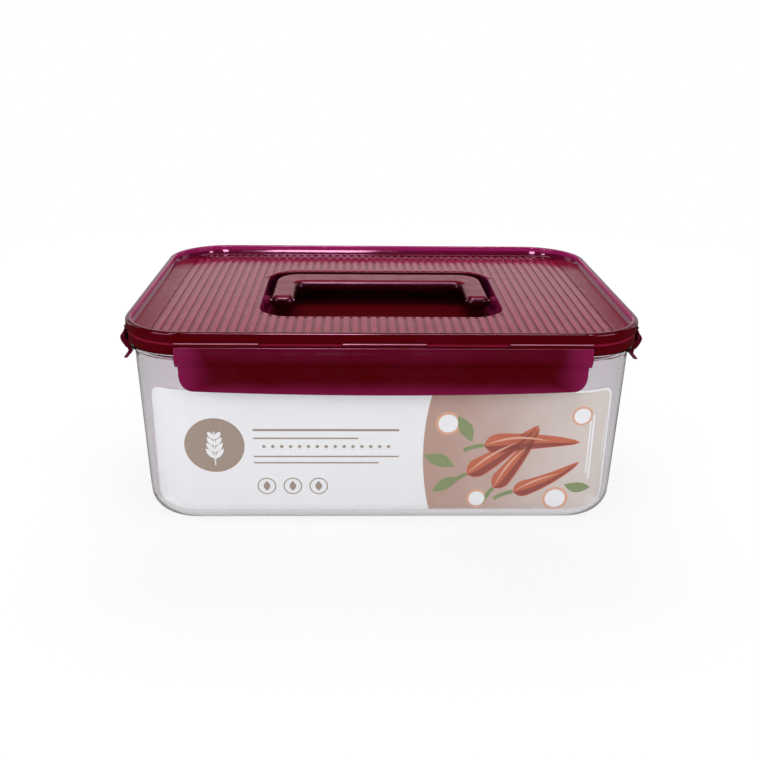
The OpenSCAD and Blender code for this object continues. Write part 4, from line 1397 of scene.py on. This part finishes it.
class CONTAINER_OT_card(bpy.types.Operator):
    """Makes the printed card inside the front wall, with a plain generic print"""
    bl_idname = "container.make_card"
    bl_label = "Card"

    def execute(self, context):
        scene = context.scene
        card, at = scene.container_card, levels(scene)
        bends = [side * u for side in (-1, 1) for u in [at.corner_x, *spread(at.corner_x, CARD_HIGH.x, 12)]]
        bend_top = inner_round(scene)[1]
        low_bends = [*spread(CARD_LOW.z, bend_top, 8), bend_top]

        def place(u, v, w):
            past = max(abs(u) - at.corner_x, 0.0)
            return u, -(at.corner_y + math.sqrt(w * w - past * past)), v

        def face(u, v):
            return wall_face(scene, v) - card.gap - card.ink

        def inlay(outline, layer):
            return plate(outline, lambda u, v: face(u, v) + card.ink * layer,
                         lambda u, v: face(u, v) - card.ink, place, cuts_u=bends, cuts_v=low_bends)

        sheet = plate(self.sheet(card), face, lambda u, v: face(u, v) - card.thickness + card.ink,
                      place, cuts_u=bends, cuts_v=low_bends)
        piece("card_sheet", [sheet], printed("card_paper", card.paper), "tub", ["label_card"])
        panel = printed("card_panel_print", card.cream, card.blush, (card.panel_left, card.panel_cream))
        piece("card_panel", [inlay(self.panel(card), layer=0.25)], panel, "tub")
        for name, tone, layer, outlines in self.motifs(card):
            ink = printed(name + "_print", tone)
            piece(name, [inlay(outline, layer) for outline in outlines], ink, "tub")
        diamond = ribbon((-card.bead / 2, self.rule_height(card)), 0.0, card.bead, card.bead, steps=2)
        ink = printed("card_diamonds_print", card.badge)
        row = grown("card_diamonds", as_mesh("diamond", inlay(diamond, layer=0.5)), row_tree(), {
            "Count": card.beads, "Spacing": card.bead * 2, "Material": ink})
        row.transform(Matrix.Translation((card.rule_middle, 0.0, 0.0)))
        finished("card_diamonds", row, ink, "tub")
        return {"FINISHED"}

    def sheet(self, card):
        """Outline of the card."""
        low, high, half = CARD_LOW.z, CARD_HIGH.z, CARD_HIGH.x
        a, b = card.top_corner, card.low_corner
        return [*arc(half - b, low + b, b, -90, 0, 8), *arc(half - a, high - a, a, 0, 90, 6),
                *arc(-half + a, high - a, a, 90, 180, 6), *arc(-half + b, low + b, b, 180, 270, 8)]

    def panel(self, card):
        """Outline of the picture panel at the right, with a curved left edge."""
        low, high, half = CARD_LOW.z + card.margin, CARD_HIGH.z - card.margin, CARD_HIGH.x - card.margin
        a, b = card.top_corner - card.margin, card.low_corner - card.margin
        middle = (low + high) / 2
        bulge = math.degrees(math.asin((high - low) / 2 / card.panel_bulge))
        centre = card.panel_left + card.panel_bulge
        left = arc(centre, middle, card.panel_bulge, 180 - bulge, 180 + bulge, 16)
        return [*left, *arc(half - b, low + b, b, -90, 0, 8), *arc(half - a, high - a, a, 0, 90, 6)]

    def rule_height(self, card):
        """Height of the row of diamonds between the rules."""
        return CARD_LOW.z + card.rule_at * (CARD_HIGH.z - CARD_LOW.z)

    def motifs(self, card):
        """Print in flat colours: a round badge with a sprig, rules, peppers, leaves and round slices."""
        middle = (CARD_LOW.z + CARD_HIGH.z) / 2
        badge, badge_radius = (-0.083, middle + 0.004), 0.0148
        rule = self.rule_height(card)
        width = card.rule_length
        left = card.rule_middle - width / 2
        rules = [bar(left, rule + up, width * part, thick) for up, part, thick in (
            (0.009, 1.0, 0.0012), (0.0045, 0.72, 0.0008), (-0.0055, 1.0, 0.0008), (-0.009, 0.86, 0.0008))]
        mark_start, mark_gap, mark_radius, mark_line = 0.006, 0.013, 0.0047, 0.0006
        mark_z, drop_long, drop_wide = CARD_LOW.z + 0.015, 0.0056, 0.0034
        marks = [left + mark_start + mark_gap * step for step in range(3)]
        rings = [half for x in marks for half in ring(x, mark_z, mark_radius, mark_line)]
        drops = [ribbon((x, mark_z - drop_long / 2), 90, drop_long, drop_wide) for x in marks]
        leaf_start, leaf_gap, leaf_wide, leaf_turn = 0.0075, 0.0036, 0.0025, 38
        sprig = []
        for step in range(4):
            root = (badge[0], badge[1] - leaf_start + leaf_gap * step)
            long = 0.0074 - 0.0007 * step
            sprig += [ribbon(root, 90 - side * leaf_turn, long, leaf_wide) for side in (-1, 1)]
        sprig.append(ribbon((badge[0], badge[1] - 0.011), 90, 0.0185, 0.0006, even_width))
        heart = (0.062, middle - 0.006)
        peppers = ((-0.020, -0.006, 30, 0.044, 0.0115, 0.006), (-0.012, 0.010, 8, 0.048, 0.0125, -0.005),
                   (-0.006, -0.014, 52, 0.040, 0.0105, 0.004), (0.004, -0.016, 16, 0.036, 0.010, 0.007))
        bodies, shades, shines, stems = [], [], [], []
        for du, dv, turn, long, wide, bend in peppers:
            root = (heart[0] + du, heart[1] + dv)
            bodies.append(ribbon(root, turn, long, wide, pepper_width, bend))
            shades.append(ribbon(
                root, turn, long * 0.97, wide * 0.34, pepper_width, bend, shift=-wide * 0.27))
            shines.append(ribbon(
                root, turn, long * 0.7, wide * 0.10, leaf_width, bend * 0.5, shift=wide * 0.2))
            stems.append(ribbon(root, turn + 176, 0.010, 0.0022, even_width, 0.002))
        leaves = [ribbon((heart[0] + du, heart[1] + dv), turn, long, long * 0.42, leaf_width, 0.002)
                  for du, dv, turn, long in ((-0.026, -0.002, 150, 0.017), (-0.024, -0.008, 205, 0.015),
                                             (-0.018, 0.012, 110, 0.016), (0.030, -0.012, -20, 0.014))]
        rounds = ((-0.030, 0.022, 0.0062), (0.036, 0.026, 0.0052),
                  (0.026, -0.020, 0.0066), (-0.014, -0.020, 0.0052))
        slices = [disc(heart[0] + du, heart[1] + dv, r) for du, dv, r in rounds]
        hearts = [disc(heart[0] + du, heart[1] + dv, r * 0.78) for du, dv, r in rounds]
        return (
            ("card_badge", card.badge, 0.4, [disc(*badge, badge_radius), *rules, *rings, *drops]),
            ("card_sprig", card.paper, 0.8, sprig),
            ("card_slices", card.shine, 0.4, slices),
            ("card_slice_hearts", card.paper, 0.6, hearts),
            ("card_leaves", card.leaf, 0.5, [*leaves, *stems]),
            ("card_peppers", card.chilli, 0.7, bodies),
            ("card_pepper_shades", card.ember, 0.85, shades),
            ("card_pepper_shines", card.shine, 1.0, shines))


class CONTAINER_PT_panel(bpy.types.Panel):
    """Lists the pieces and their sizes in the sidebar"""
    bl_label = "Container"
    bl_space_type = "VIEW_3D"
    bl_region_type = "UI"
    bl_category = "Container"

    def draw(self, context):
        for made in OPERATORS:
            self.layout.operator(made.bl_idname)
        for name in SETTINGS:
            group = getattr(context.scene, name)
            box = self.layout.box()
            for field in group.bl_rna.properties:
                if field.identifier in group.__annotations__:
                    box.prop(group, field.identifier)


OPERATORS = (CONTAINER_OT_stage, CONTAINER_OT_tub, CONTAINER_OT_card, CONTAINER_OT_lid, CONTAINER_OT_seal,
             CONTAINER_OT_latches, CONTAINER_OT_handle)


def register():
    """Registers the settings, the operators and the panel."""
    for name, group in SETTINGS.items():
        bpy.utils.register_class(group)
        setattr(bpy.types.Scene, name, PointerProperty(type=group))
    for made in (*OPERATORS, CONTAINER_PT_panel):
        bpy.utils.register_class(made)


def unregister():
    """Takes the settings, the operators and the panel out again."""
    for made in reversed((*OPERATORS, CONTAINER_PT_panel)):
        bpy.utils.unregister_class(made)
    for name, group in SETTINGS.items():
        delattr(bpy.types.Scene, name)
        bpy.utils.unregister_class(group)


def main():
    """Builds every piece in order."""
    register()
    bpy.ops.container.make_stage()
    bpy.ops.container.make_tub()
    bpy.ops.container.make_card()
    bpy.ops.container.make_lid()
    bpy.ops.container.make_seal()
    bpy.ops.container.make_latches()
    bpy.ops.container.make_handle()


if __name__ == "__main__":
    main()
